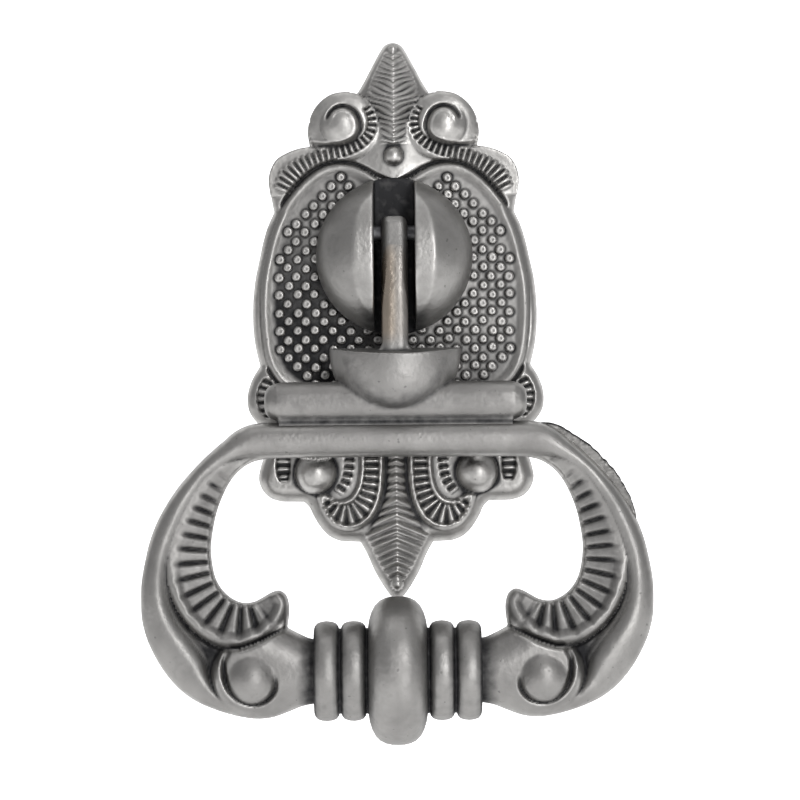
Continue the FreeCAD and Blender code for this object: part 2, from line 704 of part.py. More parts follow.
def bail_handle():
    reach = TOP_BAR_HALF_LENGTH
    profile = ((-reach, TOP_BAR_RADIUS), (reach, TOP_BAR_RADIUS))
    top_bar = turned(profile, at(0, TOP_BAR_Z, BAIL_DEPTH), ACROSS, BAR_SIDES)
    right = [ridge(), web(), leaf_rim(), snail()]
    right += ribs_on_route(ARM_ROUTE, ARM_RIBS, ARM_WIDTH, ARM_RIB_BASE, ARM_RIB_HEIGHT, BAIL_DEPTH + WEB_FRONT)
    parts = [tongue(), half_moon(), upper_bar(), bar_web(), grip()] + right + [mirrored(shape) for shape in right]
    body = top_bar.multiFuse(parts)
    eye_hole = pin_rod(PIN_RADIUS + PIN_CLEARANCE, DOME_RADIUS)
    return body.cut(eye_hole)


def main():
    os.makedirs("parts", exist_ok=True)
    pieces = {
        "backplate": backplate,
        "slotted_post": slotted_post,
        "pivot_pin": pivot_pin,
        "bail_handle": bail_handle,
    }
    for name, build in pieces.items():
        shape = build()
        solid = shape.Solids[0] if len(shape.Solids) == 1 else shape
        print(name, "solids", len(shape.Solids), "valid", shape.isValid(), "volume", round(shape.Volume, 1))
        solid.exportStep("parts/" + name + ".step")


main()
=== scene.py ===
"""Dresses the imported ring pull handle: relief backplate, slotted post with its pin, and swinging bail.

Lengths in the fields are millimetres, and a mesh becomes metres when it is placed. The front faces -Y,
so depth is the distance in front of the back of the plate. Both halves mirror each other across x = 0.
"""

import logging
import math
from dataclasses import dataclass
from enum import Enum
from typing import Callable, Iterable

import bmesh
import bpy
import numpy as np
from mathutils import Matrix, Vector


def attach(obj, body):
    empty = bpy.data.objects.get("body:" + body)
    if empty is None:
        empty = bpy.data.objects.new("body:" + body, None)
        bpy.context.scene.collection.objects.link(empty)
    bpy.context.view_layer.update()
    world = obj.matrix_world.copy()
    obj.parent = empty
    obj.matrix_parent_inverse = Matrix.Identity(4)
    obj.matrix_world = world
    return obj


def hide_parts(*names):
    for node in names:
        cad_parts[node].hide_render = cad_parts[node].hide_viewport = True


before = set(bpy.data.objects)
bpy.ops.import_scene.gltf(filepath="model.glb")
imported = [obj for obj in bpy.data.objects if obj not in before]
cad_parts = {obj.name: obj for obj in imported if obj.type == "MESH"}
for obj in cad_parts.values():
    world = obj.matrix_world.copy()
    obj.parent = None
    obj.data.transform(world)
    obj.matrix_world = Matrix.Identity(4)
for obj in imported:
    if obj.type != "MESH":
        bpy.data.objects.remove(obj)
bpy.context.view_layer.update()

LOG = logging.getLogger("handle")
MM = 0.001
FAR = 1.0e6

Array = np.ndarray
Form = bmesh.types.BMesh
Socket = bpy.types.NodeSocket
Spot = tuple[float, float]
Triple = tuple[float, float, float]
Path = tuple[Spot, ...]

ACROSS = Vector((1.0, 0.0, 0.0))
FORWARD = Vector((0.0, -1.0, 0.0))
ORIGIN = Vector((0.0, 0.0, 0.0))
UPRIGHT = Matrix.Rotation(math.pi / 2, 4, "X")


class Body(Enum):
    """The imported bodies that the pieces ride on."""

    PLATE = "root"
    BAIL = "bail"


class Metal(Enum):
    """The record's material slots."""

    PEWTER = "antique_pewter"
    STEEL = "pin_steel"


def eased(value: Array, low: float, high: float) -> Array:
    """A smooth step from 0 at low to 1 at high."""
    share = np.clip((value - low) / (high - low), 0.0, 1.0)
    return share * share * (3.0 - 2.0 * share)


def rolled(share: Array) -> Array:
    """A quarter round that leaves 0 steeply and arrives level at 1."""
    return np.sqrt(1.0 - (1.0 - np.clip(share, 0.0, 1.0)) ** 2)


def arched(share: Array) -> Array:
    """A half round over 0 to 1."""
    return np.sqrt(np.clip(1.0 - (2.0 * np.clip(share, 0.0, 1.0) - 1.0) ** 2, 0.0, 1.0))


def joined(first: Array, second: Array, blend: float) -> Array:
    """The higher of two surfaces, with a fillet of about the blend where they meet."""
    share = np.clip(0.5 + 0.5 * (first - second) / blend, 0.0, 1.0)
    return second + (first - second) * share + blend * share * (1.0 - share)


def bump(distance: Array, width: float) -> Array:
    """A soft bead of the given width round distance 0."""
    return np.clip(1.0 - (2.0 * distance / width) ** 2, 0.0, 1.0) ** 1.5


def wave(turns: Array, sharpness: float = 1.0) -> Array:
    """A crest of 1 at each whole turn and a trough of 0 between."""
    return (0.5 + 0.5 * np.cos(2.0 * math.pi * turns)) ** sharpness


def cap(x: Array, z: Array, centre: Spot, radius: float) -> Array:
    """The height of a dome that is 1 high and has the given radius, and far below outside it."""
    reach = np.hypot(x - centre[0], z - centre[1]) / radius
    return np.where(reach < 1.0, np.sqrt(np.clip(1.0 - reach * reach, 0.0, 1.0)), -FAR)


def through(points: Path, step: float) -> Array:
    """Samples a smooth curve through the points.

    Args:
        points: the places that the curve passes, as x and z.
        step: about how far apart the samples are.

    Returns:
        The samples as rows.
    """
    knots = np.array(points, float)
    chords = np.linalg.norm(np.diff(knots, axis=0), axis=1)
    run = np.concatenate(([0.0], np.cumsum(chords)))
    slopes = np.gradient(knots, run, axis=0)
    places = np.linspace(0.0, run[-1], max(2, int(run[-1] / step) + 2))
    low = np.clip(np.searchsorted(run, places, side="right") - 1, 0, len(chords) - 1)
    span = chords[low][:, None]
    u = ((places - run[low]) / chords[low])[:, None]
    start = (2 * u**3 - 3 * u**2 + 1) * knots[low] + (u**3 - 2 * u**2 + u) * span * slopes[low]
    end = (3 * u**2 - 2 * u**3) * knots[low + 1] + (u**3 - u**2) * span * slopes[low + 1]
    return start + end


@dataclass
class Nearness:
    """Where points lie beside a route: the distance, the run along it, the side and the nearest place."""

    distance: Array
    along: Array
    left: Array
    foot_x: Array
    foot_z: Array


class Route:
    """A path in the plane of the front, made of smooth stretches that meet at corners."""

    def __init__(self, *stretches: Path, step: float = 0.3) -> None:
        """Samples the stretches.

        Args:
            stretches: the points of each smooth stretch, each starting where the last ended.
            step: the spacing of the samples.
        """
        pieces = [through(points, step) for points in stretches]
        self.points = np.concatenate([pieces[0]] + [piece[1:] for piece in pieces[1:]])
        chords = np.linalg.norm(np.diff(self.points, axis=0), axis=1)
        self.run = np.concatenate(([0.0], np.cumsum(chords)))

    @property
    def length(self) -> float:
        """The length of the whole route."""
        return float(self.run[-1])

    def beside(self, x: Array, z: Array) -> Nearness:
        """Measures points against the route.

        Args:
            x: across, one value a point.
            z: up, one value a point.

        Returns:
            The nearness of each point.
        """
        best = np.full(x.shape, FAR)
        found = Nearness(best, *(np.zeros(x.shape) for _ in range(4)))
        for number in range(len(self.points) - 1):
            start, step = self.points[number], self.points[number + 1] - self.points[number]
            dx, dz = x - start[0], z - start[1]
            share = np.clip((dx * step[0] + dz * step[1]) / (step @ step), 0.0, 1.0)
            out_x, out_z = dx - share * step[0], dz - share * step[1]
            gap = out_x * out_x + out_z * out_z
            nearer = gap < best
            best[nearer] = gap[nearer]
            found.along[nearer] = self.run[number] + share[nearer] * math.hypot(*step)
            found.left[nearer] = np.sign(step[0] * out_z - step[1] * out_x)[nearer]
            found.foot_x[nearer] = (x - out_x)[nearer]
            found.foot_z[nearer] = (z - out_z)[nearer]
        found.distance = np.sqrt(best)
        return found

    def encloses(self, x: Array, z: Array) -> Array:
        """Whether each point lies inside the route, closed from its end to its start."""
        inside = np.zeros(x.shape, bool)
        ring = np.vstack((self.points, self.points[:1]))
        for (low_x, low_z), (high_x, high_z) in zip(ring, ring[1:]):
            if low_z != high_z:
                crosses = (low_z > z) != (high_z > z)
                inside ^= crosses & (x < (high_x - low_x) * (z - low_z) / (high_z - low_z) + low_x)
        return inside

    def depth_inside(self, x: Array, z: Array) -> tuple[Array, Nearness]:
        """The distance in from the route, negative outside, and the nearness it comes from."""
        near = self.beside(x, z)
        return np.where(self.encloses(x, z), near.distance, -near.distance), near


def read_points(vertices: Iterable) -> Array:
    """The places of bmesh vertices as rows."""
    return np.array([vertex.co[:] for vertex in vertices], float).reshape(-1, 3)


def trimmed_grid(outline: Route, low: Spot, high: Spot, spacing: float) -> Form:
    """A fine grid in the plane of the front, trimmed to an outline and its mirror image.

    Args:
        outline: the right half of the outline, from one end of the axis x = 0 to the other.
        low: the lowest x and z that the grid covers.
        high: the highest x and z that it covers.
        spacing: the size of a cell.

    Returns:
        The grid, whose border lies on the outline.
    """
    grid = bmesh.new()
    size = (high[0] - low[0], high[1] - low[1])
    cells = [max(1, round(side / spacing)) for side in size]
    bmesh.ops.create_grid(grid, x_segments=cells[0], y_segments=cells[1], size=0.5)
    middle = Vector(((low[0] + high[0]) / 2, 0.0, (low[1] + high[1]) / 2))
    stretch = Matrix.Translation(middle) @ UPRIGHT @ Matrix.Diagonal((*size, 1.0, 1.0))
    bmesh.ops.transform(grid, matrix=stretch, verts=grid.verts)
    vertices = list(grid.verts)
    places = read_points(vertices)
    inward, _ = outline.depth_inside(np.abs(places[:, 0]), places[:, 2])
    outside = [vertex for vertex, gap in zip(vertices, inward) if gap < -0.5 * spacing]
    bmesh.ops.delete(grid, geom=outside, context="VERTS")
    loose = [vertex for vertex in grid.verts if not vertex.link_faces]
    bmesh.ops.delete(grid, geom=loose, context="VERTS")
    snap_border(grid, outline)
    return grid


def snap_border(grid: Form, outline: Route) -> None:
    """Moves the border of a trimmed grid onto the outline and evens the cells beside it."""
    border = [vertex for vertex in grid.verts if vertex.is_boundary]
    places = read_points(border)
    near = outline.beside(np.abs(places[:, 0]), places[:, 2])
    for vertex, x, z in zip(border, near.foot_x, near.foot_z):
        vertex.co.x = math.copysign(x, vertex.co.x)
        vertex.co.z = z
    ring = {other for vertex in border for edge in vertex.link_edges for other in edge.verts}
    ring |= {other for vertex in ring for edge in vertex.link_edges for other in edge.verts}
    relax(grid, [vertex for vertex in ring if not vertex.is_boundary], 4, False)


def relax(form: Form, vertices: list, times: int, in_depth: bool) -> None:
    """Evens vertices out the given number of times, in depth too or only in the plane of the front."""
    for _ in range(times):
        bmesh.ops.smooth_vert(
            form, verts=vertices, factor=0.5, use_axis_x=True, use_axis_y=in_depth, use_axis_z=True
        )


def lay_relief(grid: Form, depth: Callable[[Array, Array], Array]) -> None:
    """Sets how far each vertex stands in front of y = 0, by a relief function of |x| and z."""
    places = read_points(grid.verts)
    for vertex, height in zip(grid.verts, depth(np.abs(places[:, 0]), places[:, 2])):
        vertex.co.y = -height


def fused(parts: Form, voxel: float, softening: int) -> Form:
    """Melts overlapping closed forms into one skin, as the metal of a casting is.

    Args:
        parts: the closed forms; freed here.
        voxel: the size of the cells that the skin is made from.
        softening: how many times the skin is smoothed.

    Returns:
        The skin.
    """
    mesh = bpy.data.meshes.new("melt")
    parts.to_mesh(mesh)
    parts.free()
    melt = bpy.data.objects.new("melt", mesh)
    bpy.context.scene.collection.objects.link(melt)
    remesh = melt.modifiers.new("Skin", "REMESH")
    remesh.mode = "VOXEL"
    remesh.voxel_size = voxel
    remesh.adaptivity = 0.0
    graph = bpy.context.evaluated_depsgraph_get()
    skin = bpy.data.meshes.new_from_object(melt.evaluated_get(graph))
    result = bmesh.new()
    result.from_mesh(skin)
    bpy.data.objects.remove(melt)
    bpy.data.meshes.remove(mesh)
    bpy.data.meshes.remove(skin)
    relax(result, list(result.verts), softening, True)
    return result


def lathe(profile: Path, along: Vector, start: Vector, steps: int) -> Form:
    """Turns a profile into a closed form.

    Args:
        profile: pairs of a place along the axis and a radius; the ends are closed on the axis.
        along: the direction of the axis.
        start: the origin of the axis.
        steps: the faces round the axis.

    Returns:
        The turned form with its faces outwards.
    """
    form = bmesh.new()
    out = along.orthogonal().normalized()
    rows = [(profile[0][0], 0.0), *profile, (profile[-1][0], 0.0)]
    vertices = [form.verts.new(start + along * reach + out * radius) for reach, radius in rows]
    edges = [form.edges.new(pair) for pair in zip(vertices, vertices[1:])]
    bmesh.ops.spin(
        form, geom=vertices + edges, axis=along, cent=start, dvec=(0, 0, 0), angle=2 * math.pi,
        steps=steps, use_merge=True, use_duplicate=False, use_normal_flip=False,
    )
    bmesh.ops.remove_doubles(form, verts=form.verts, dist=1e-4)
    bmesh.ops.recalc_face_normals(form, faces=form.faces)
    return form


def poured(target: Form, source: Form) -> None:
    """Adds one form to another and frees it."""
    mesh = bpy.data.meshes.new("pour")
    source.to_mesh(mesh)
    source.free()
    target.from_mesh(mesh)
    bpy.data.meshes.remove(mesh)


def swept(corners: list[Triple], sweep: Triple) -> Form:
    """Sweeps a flat face into a closed slab.

    Args:
        corners: the corners of the face in order.
        sweep: how far the face is swept.

    Returns:
        The slab with its faces outwards.
    """
    form = bmesh.new()
    face = form.faces.new([form.verts.new(corner) for corner in corners])
    made = bmesh.ops.extrude_face_region(form, geom=[face])["geom"]
    moved = [item for item in made if isinstance(item, bmesh.types.BMVert)]
    bmesh.ops.translate(form, vec=sweep, verts=moved)
    bmesh.ops.recalc_face_normals(form, faces=form.faces)
    return form


def walled(form: Form, border: list, depth: float) -> list:
    """Grows a wall from open edges to a depth.

    Args:
        form: the open form.
        border: its open edges.
        depth: how far in front of y = 0 the wall ends.

    Returns:
        The new open edges.
    """
    wall = bmesh.ops.extrude_edge_only(form, edges=border)["geom"]
    ends = [item for item in wall if isinstance(item, bmesh.types.BMEdge) and item.is_boundary]
    for vertex in {vertex for edge in ends for vertex in edge.verts}:
        vertex.co.y = -depth
    return ends


def cut_off(form: Form, place: Triple, away: Triple) -> None:
    """Cuts off what lies past a plane and closes the cut.

    Args:
        form: the closed form.
        place: a point of the plane.
        away: the direction in which the form is cut away.
    """
    geometry = list(form.verts) + list(form.edges) + list(form.faces)
    made = bmesh.ops.bisect_plane(
        form, geom=geometry, dist=1e-5, plane_co=place, plane_no=away, clear_outer=True, clear_inner=False
    )
    edges = [item for item in made["geom_cut"] if isinstance(item, bmesh.types.BMEdge)]
    bmesh.ops.holes_fill(form, edges=edges, sides=0)


def read_values(items: bpy.types.bpy_prop_collection, label: str, width: int, kind: type = float) -> Array:
    """The named values of a mesh's items, one row an item."""
    values = np.empty(len(items) * width, kind)
    items.foreach_get(label, values)
    return values.reshape(-1, width)


@dataclass(frozen=True)
class Patina:
    """How the dark finish sits in the hollows of a piece and has gone from its high spots."""

    fine: float = 0.35
    broad: float = 1.3
    hollow_depth: float = 0.16
    pit_depth: float = 0.1
    crest_height: float = 0.07
    ridge_share: float = 0.35

    def paint(self, mesh: bpy.types.Mesh, spacing: float, grime_and_shade: Array, wear_and_light: Array) -> None:
        """Writes the hollow and worn_and_lit values of each vertex: patina and wear from the curvature, with the
        painted shade and painted light that the masks add.

        Args:
            mesh: the piece's mesh, still in millimetres.
            spacing: the usual distance between its vertices.
            grime_and_shade: what is added to the hollow values, one a vertex: grime and painted shade.
            wear_and_light: what is added to the worn_and_lit values, one a vertex: wear and painted light.
        """
        places = read_values(mesh.vertices, "co", 3)
        normals = read_values(mesh.vertex_normals, "vector", 3)
        ends = read_values(mesh.edges, "vertices", 2, np.int64)
        near = self.smoothed(places, ends, max(1, round((self.fine / spacing) ** 2)))
        wide = self.smoothed(near, ends, max(1, round((self.broad / spacing) ** 2)))
        fine = ((near - places) * normals).sum(1)
        broad = ((wide - places) * normals).sum(1)
        hollow = np.clip(broad / self.hollow_depth, 0.0, 1.0) + np.clip(fine / self.pit_depth, 0.0, 0.8)
        ridges = self.ridge_share * np.clip(-broad / self.hollow_depth, 0.0, 1.0)
        worn_and_lit = np.clip(-fine / self.crest_height, 0.0, 1.0) + ridges
        # The hollow values also carry painted shade, and the worn_and_lit values carry painted light.
        self.write(mesh, "hollow", np.clip(hollow + grime_and_shade, 0.0, 1.0))
        self.write(mesh, "worn_and_lit", np.clip(worn_and_lit + wear_and_light, 0.0, 1.0))

    @staticmethod
    def smoothed(places: Array, ends: Array, times: int) -> Array:
        """Moves each place towards its neighbours again and again.

        Args:
            places: the places of the vertices.
            ends: the two vertices of each edge.
            times: how often they move.

        Returns:
            The places after the last move.
        """
        count = len(places)
        links = np.maximum(np.bincount(ends.ravel(), minlength=count), 1)[:, None]
        ways = ((ends[:, 0], ends[:, 1]), (ends[:, 1], ends[:, 0]))
        for _ in range(times):
            drawn = np.column_stack(
                [sum(np.bincount(near, places[far, axis], count) for near, far in ways) for axis in range(3)]
            )
            places = 0.5 * places + 0.5 * drawn / links
        return places

    @staticmethod
    def write(mesh: bpy.types.Mesh, name: str, values: Array) -> None:
        """Stores one value a vertex under a name that the materials read."""
        attribute = mesh.attributes.new(name, "FLOAT", "POINT")
        attribute.data.foreach_set("value", values.astype(np.float32))


class Recipe:
    """Adds the steps of a shader group one by one."""

    def __init__(self, tree: bpy.types.NodeTree) -> None:
        """Starts from what the group is given."""
        self.nodes, self.links = tree.nodes, tree.links
        self.given = self.nodes.new("NodeGroupInput").outputs

    def noise(self, scale: Socket, detail: float, finer: float = 1.0) -> Socket:
        """Adds a noise on the piece's own coordinates.

        Args:
            scale: the scale that the material gives.
            detail: how many finer layers the noise has.
            finer: what the scale is multiplied by.

        Returns:
            The noise value.
        """
        texture = self.nodes.new("ShaderNodeTexNoise")
        texture.inputs["Detail"].default_value = detail
        self.links.new(self.given["Place"], texture.inputs["Vector"])
        self.links.new(self.worked("MULTIPLY", scale, finer), texture.inputs["Scale"])
        return texture.outputs["Fac"]

    def ranged(self, value: Socket, band: Spot, out: Spot) -> Socket:
        """Maps the values of a band to others.

        Args:
            value: the value.
            band: the low and high end that are mapped.
            out: what they become.

        Returns:
            The mapped value, held at the ends.
        """
        node = self.nodes.new("ShaderNodeMapRange")
        self.links.new(value, node.inputs["Value"])
        for label, amount in zip(("From Min", "From Max", "To Min", "To Max"), (*band, *out)):
            node.inputs[label].default_value = amount
        return node.outputs["Result"]

    def worked(self, operation: str, first: Socket, second: Socket | float, clamp: bool = False) -> Socket:
        """Adds one arithmetic step.

        Args:
            operation: the name of the step.
            first: the first value.
            second: the second value, or a number.
            clamp: whether the result is held between 0 and 1.

        Returns:
            The result.
        """
        node = self.nodes.new("ShaderNodeMath")
        node.operation = operation
        node.use_clamp = clamp
        self.links.new(first, node.inputs[0])
        if isinstance(second, float):
            node.inputs[1].default_value = second
        else:
            self.links.new(second, node.inputs[1])
        return node.outputs[0]

    def mixed(self, factor: Socket, first: Socket, second: Socket) -> Socket:
        """Lays one colour over another.

        Args:
            factor: how much of the second colour shows.
            first: the colour below.
            second: the colour above.

        Returns:
            The mixed colour.
        """
        node = self.nodes.new("ShaderNodeMix")
        node.data_type = "RGBA"
        for slot, value in ((0, factor), (6, first), (7, second)):
            self.links.new(value, node.inputs[slot])
        return node.outputs[2]


@dataclass(frozen=True)
class Ageing:
    """How patina values, and the painted light and shade that they carry, turn into colour, roughness and grain.
    """

    mottle_finer: float = 5.0
    mottle_height: float = 1.5
    speck_finer: float = 0.9
    speck_band: Spot = (0.72, 0.78)
    speck_dark: float = 0.4
    uneven_band: Spot = (0.3, 0.7)
    uneven: float = 0.14
    film_band: Spot = (0.35, 0.7)
    film_dark: float = 0.22
    rub_band: Spot = (0.3, 0.6)
    rub_least: float = 0.45
    cloud_band: Spot = (0.3, 0.7)
    cloud_dulls: Spot = (-0.05, 0.07)
    dirt_and_shade_dulls: float = 0.25
    rubbed_and_lit_shines: float = 0.14
    warm_reflection_shines: float = 0.25

    def group(self) -> bpy.types.NodeTree:
        """Makes the shader group that the metals share.

        Returns:
            The group, built once.
        """
        tree = bpy.data.node_groups.get("aged_metal")
        if tree:
            return tree
        tree = bpy.data.node_groups.new("aged_metal", "ShaderNodeTree")
        for way, kind, labels in (
            ("INPUT", "Vector", ("Place",)),
            ("INPUT", "Float", ("Hollow", "Worn_and_lit", "Warm_reflection", "Gloss", "Grain", "Cloud")),
            ("INPUT", "Color", ("Bright", "Body", "Dark", "Warm")),
            ("OUTPUT", "Color", ("Colour",)),
            ("OUTPUT", "Float", ("Roughness", "Height")),
        ):
            for label in labels:
                tree.interface.new_socket(label, in_out=way, socket_type=f"NodeSocket{kind}")
        self.fill(Recipe(tree), tree.nodes.new("NodeGroupOutput").inputs)
        return tree

    def fill(self, recipe: Recipe, result: bpy.types.bpy_prop_collection) -> None:
        """Joins the group's inputs to its outputs.

        Args:
            recipe: adds the steps.
            result: the sockets of the group's output.
        """
        given, ranged, worked, mixed = recipe.given, recipe.ranged, recipe.worked, recipe.mixed
        cloud = recipe.noise(given["Cloud"], 4.0)
        mottle = recipe.noise(given["Cloud"], 5.0, self.mottle_finer)
        grain = recipe.noise(given["Grain"], 2.0)
        flecks = recipe.noise(given["Grain"], 1.0, self.speck_finer)
        specks = ranged(flecks, self.speck_band, (0.0, self.speck_dark))
        uneven = ranged(mottle, self.uneven_band, (-self.uneven, self.uneven))
        hollow = worked("ADD", given["Hollow"], uneven, True)
        film = ranged(cloud, self.film_band, (0.0, self.film_dark))
        # The dark colour covers the patina, film and specks, and the painted shade that the hollow values carry.
        dirt_and_shade = worked("MAXIMUM", worked("MAXIMUM", hollow, film), specks, True)
        # The bright colour shows on worn crests and where light is painted on.
        rubbed_and_lit = worked("MULTIPLY", given["Worn_and_lit"], ranged(mottle, self.rub_band, (self.rub_least, 1.0)), True)
        base = mixed(rubbed_and_lit, given["Body"], given["Bright"])
        # The warm colour is a painted warm reflection, shown where the warm_reflection values are.
        base = mixed(given["Warm_reflection"], base, given["Warm"])
        gloss = worked("ADD", given["Gloss"], ranged(cloud, self.cloud_band, self.cloud_dulls))
        gloss = worked("ADD", gloss, worked("MULTIPLY", dirt_and_shade, self.dirt_and_shade_dulls))
        gloss = worked("SUBTRACT", gloss, worked("MULTIPLY", rubbed_and_lit, self.rubbed_and_lit_shines))
        gloss = worked("SUBTRACT", gloss, worked("MULTIPLY", given["Warm_reflection"], self.warm_reflection_shines), True)
        height = worked("ADD", grain, worked("MULTIPLY", mottle, self.mottle_height))
        recipe.links.new(mixed(dirt_and_shade, base, given["Dark"]), result["Colour"])
        recipe.links.new(gloss, result["Roughness"])
        recipe.links.new(height, result["Height"])


@dataclass(frozen=True)
class CastFinish:
    """The worn, darkened surface of plated zinc, with painted light and shade in its colour."""

    name: str = "antique_pewter"
    # Bright is worn metal, and also the painted light on the sides that face the key lamp.
    bright: Triple = (0.50, 0.49, 0.475)
    body: Triple = (0.27, 0.264, 0.256)
    # Dark is the patina in the hollows, and also the painted shade.
    dark: Triple = (0.035, 0.035, 0.037)
    # Warm is the colour of the painted warm reflection on the tongue.
    warm: Triple = (0.42, 0.34, 0.26)
    edge: float = 0.8
    roughness: float = 0.45
    grain_scale: float = 1600.0
    cloud_scale: float = 160.0
    grain_strength: float = 0.35
    grain_metres: float = 0.00008

    def material(self) -> bpy.types.Material:
        """Builds the material.

        Returns:
            A metal whose colour and gloss follow the patina values.
        """
        material = bpy.data.materials.new(self.name)
        material.use_nodes = True
        nodes, links = material.node_tree.nodes, material.node_tree.links
        surface = nodes["Principled BSDF"]
        surface.inputs["Metallic"].default_value = 1.0
        surface.inputs["Specular Tint"].default_value = (self.edge, self.edge, self.edge, 1.0)
        group = nodes.new("ShaderNodeGroup")
        group.node_tree = Ageing().group()
        for label in ("bright", "body", "dark", "warm"):
            group.inputs[label.capitalize()].default_value = (*getattr(self, label), 1.0)
        group.inputs["Gloss"].default_value = self.roughness
        group.inputs["Grain"].default_value = self.grain_scale
        group.inputs["Cloud"].default_value = self.cloud_scale
        links.new(nodes.new("ShaderNodeTexCoord").outputs["Object"], group.inputs["Place"])
        # The hollow values carry painted shade, worn_and_lit painted light, and warm_reflection a painted
        # reflection.
        for label in ("hollow", "worn_and_lit", "warm_reflection"):
            reader = nodes.new("ShaderNodeAttribute")
            reader.attribute_name = label
            links.new(reader.outputs["Fac"], group.inputs[label.capitalize()])
        relief = nodes.new("ShaderNodeBump")
        relief.inputs["Strength"].default_value = self.grain_strength
        relief.inputs["Distance"].default_value = self.grain_metres
        links.new(group.outputs["Height"], relief.inputs["Height"])
        links.new(relief.outputs["Normal"], surface.inputs["Normal"])
        links.new(group.outputs["Colour"], surface.inputs["Base Color"])
        links.new(group.outputs["Roughness"], surface.inputs["Roughness"])
        return material


@dataclass(frozen=True)
class SteelFinish(CastFinish):
    """The plain steel of the pin, dulled with the rest."""

    name: str = "pin_steel"
    bright: Triple = (0.62, 0.62, 0.62)
    body: Triple = (0.45, 0.45, 0.45)
    # Dark here is the painted shade on the pin inside the slot.
    dark: Triple = (0.08, 0.08, 0.085)
    roughness: float = 0.3
    cloud_scale: float = 400.0


class Workshop:
    """Places finished meshes in the scene with their finishes."""

    def __init__(self) -> None:
        """Mixes the finishes once."""
        self.materials = {Metal.PEWTER: CastFinish().material(), Metal.STEEL: SteelFinish().material()}

    def place(
        self,
        form: Form,
        name: str,
        body: Body,
        node: str,
        spacing: float,
        metal: Metal = Metal.PEWTER,
        patina: Patina = Patina(),
        masks: Callable[[Array], dict[str, Array]] | None = None,
        crease: float = 180.0,
    ) -> None:
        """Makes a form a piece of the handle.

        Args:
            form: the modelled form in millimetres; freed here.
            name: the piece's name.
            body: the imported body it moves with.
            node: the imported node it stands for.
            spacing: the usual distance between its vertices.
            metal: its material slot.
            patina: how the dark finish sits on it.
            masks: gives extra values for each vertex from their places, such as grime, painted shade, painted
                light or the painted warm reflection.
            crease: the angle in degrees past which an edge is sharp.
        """
        mesh = bpy.data.meshes.new(name)
        form.to_mesh(mesh)
        form.free()
        mesh.shade_smooth()
        if crease < 180.0:
            mesh.set_sharp_from_angle(angle=math.radians(crease))
        extra = masks(read_values(mesh.vertices, "co", 3)) if masks else {}
        none = np.zeros(len(mesh.vertices))
        # Painted shade goes into the hollow values, painted light into the worn_and_lit values, and the painted
        # warm reflection into its own attribute.
        patina.paint(mesh, spacing, extra.get("grime_and_shade", none), extra.get("wear_and_light", none))
        patina.write(mesh, "warm_reflection", extra.get("warm_reflection", none))
        mesh.transform(Matrix.Scale(MM, 4))
        mesh.materials.append(self.materials[metal])
        piece = bpy.data.objects.new(name, mesh)
        bpy.context.scene.collection.objects.link(piece)
        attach(piece, body.value)
        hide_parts(node)
        triangles = sum(len(face.vertices) - 2 for face in mesh.polygons)
        LOG.info("%s: %d triangles on %s", name, triangles, body.value)


@dataclass(frozen=True)
class Dome:
    """A round boss on the relief."""

    middle: Spot
    radius: float
    base: float
    height: float
    blend: float

    def laid(self, depth: Array, x: Array, z: Array) -> Array:
        """The relief with the dome on it."""
        return joined(depth, self.base + self.height * cap(x, z, self.middle, self.radius), self.blend)


@dataclass(frozen=True)
class Band:
    """A band of cross ribs along a path. Half gives rows of a share of the run and the half width there."""

    path: Path
    half: Path
    pitch: float
    ground: float
    rib_height: float
    bow: float = 0.0
    rib_sharpness: float = 0.8
    rib_fall: float = 0.35

    def laid(self, depth: Array, x: Array, z: Array) -> Array:
        """Lays the band over a relief.

        Args:
            depth: the relief so far.
            x: distance from the axis.
            z: height.

        Returns:
            The relief with the band.
        """
        route = Route(self.path)
        near = route.beside(x, z)
        share = near.along / route.length
        width = np.interp(share, *zip(*self.half)) - self.bow * (2 * share - 1) ** 2
        ends = eased(near.along, 0.05, 0.5) * (1.0 - eased(near.along, route.length - 0.5, route.length - 0.05))
        inside = (1.0 - eased(near.distance, width - 0.2, width + 0.15)) * ends
        across = np.clip(near.distance / width, 0.0, 1.0)
        rib = self.rib_height * wave(near.along / self.pitch, self.rib_sharpness)
        rib = rib * (1.0 - self.rib_fall * across**2)
        return depth * (1.0 - inside) + (self.ground + rib) * inside


@dataclass(frozen=True)
class Keel:
    """A spire's body: a ridge on the axis with ribbed flanks.

    The stations are rows of height, half width and depth of the ridge, and rise is how fast a rib climbs
    away from the axis.
    """

    stations: tuple[Triple, ...]
    pitch: float
    rise: float
    foot: float = 3.1
    flank_bow: float = 1.15
    edge: float = 0.45
    rib_height: float = 0.42
    rib_sharpness: float = 1.2
    rib_sink: float = 0.35
    wander: Triple = (0.12, 2.1, 0.7)
    blend: float = 0.15

    def laid(self, depth: Array, x: Array, z: Array) -> Array:
        """Raises the spire out of a relief.

        Args:
            depth: the relief so far.
            x: distance from the axis.
            z: height.

        Returns:
            The relief with the spire.
        """
        rows = np.array(self.stations)
        half = np.interp(z, rows[:, 0], rows[:, 1])
        crest = np.interp(z, rows[:, 0], rows[:, 2])
        within = (z > rows[0, 0]) & (z < rows[-1, 0]) & (x < half)
        flank = crest - (crest - self.foot) * (x / half) ** self.flank_bow
        size, by_height, by_reach = self.wander
        place = z - self.rise * x + size * np.sin(by_height * z + by_reach * x)
        ribs = self.rib_height * (wave(place / self.pitch, self.rib_sharpness) - self.rib_sink)
        ribs = ribs * eased(half - x, 0.0, self.edge)
        return joined(depth, np.where(within, flank + ribs, -FAR), self.blend)


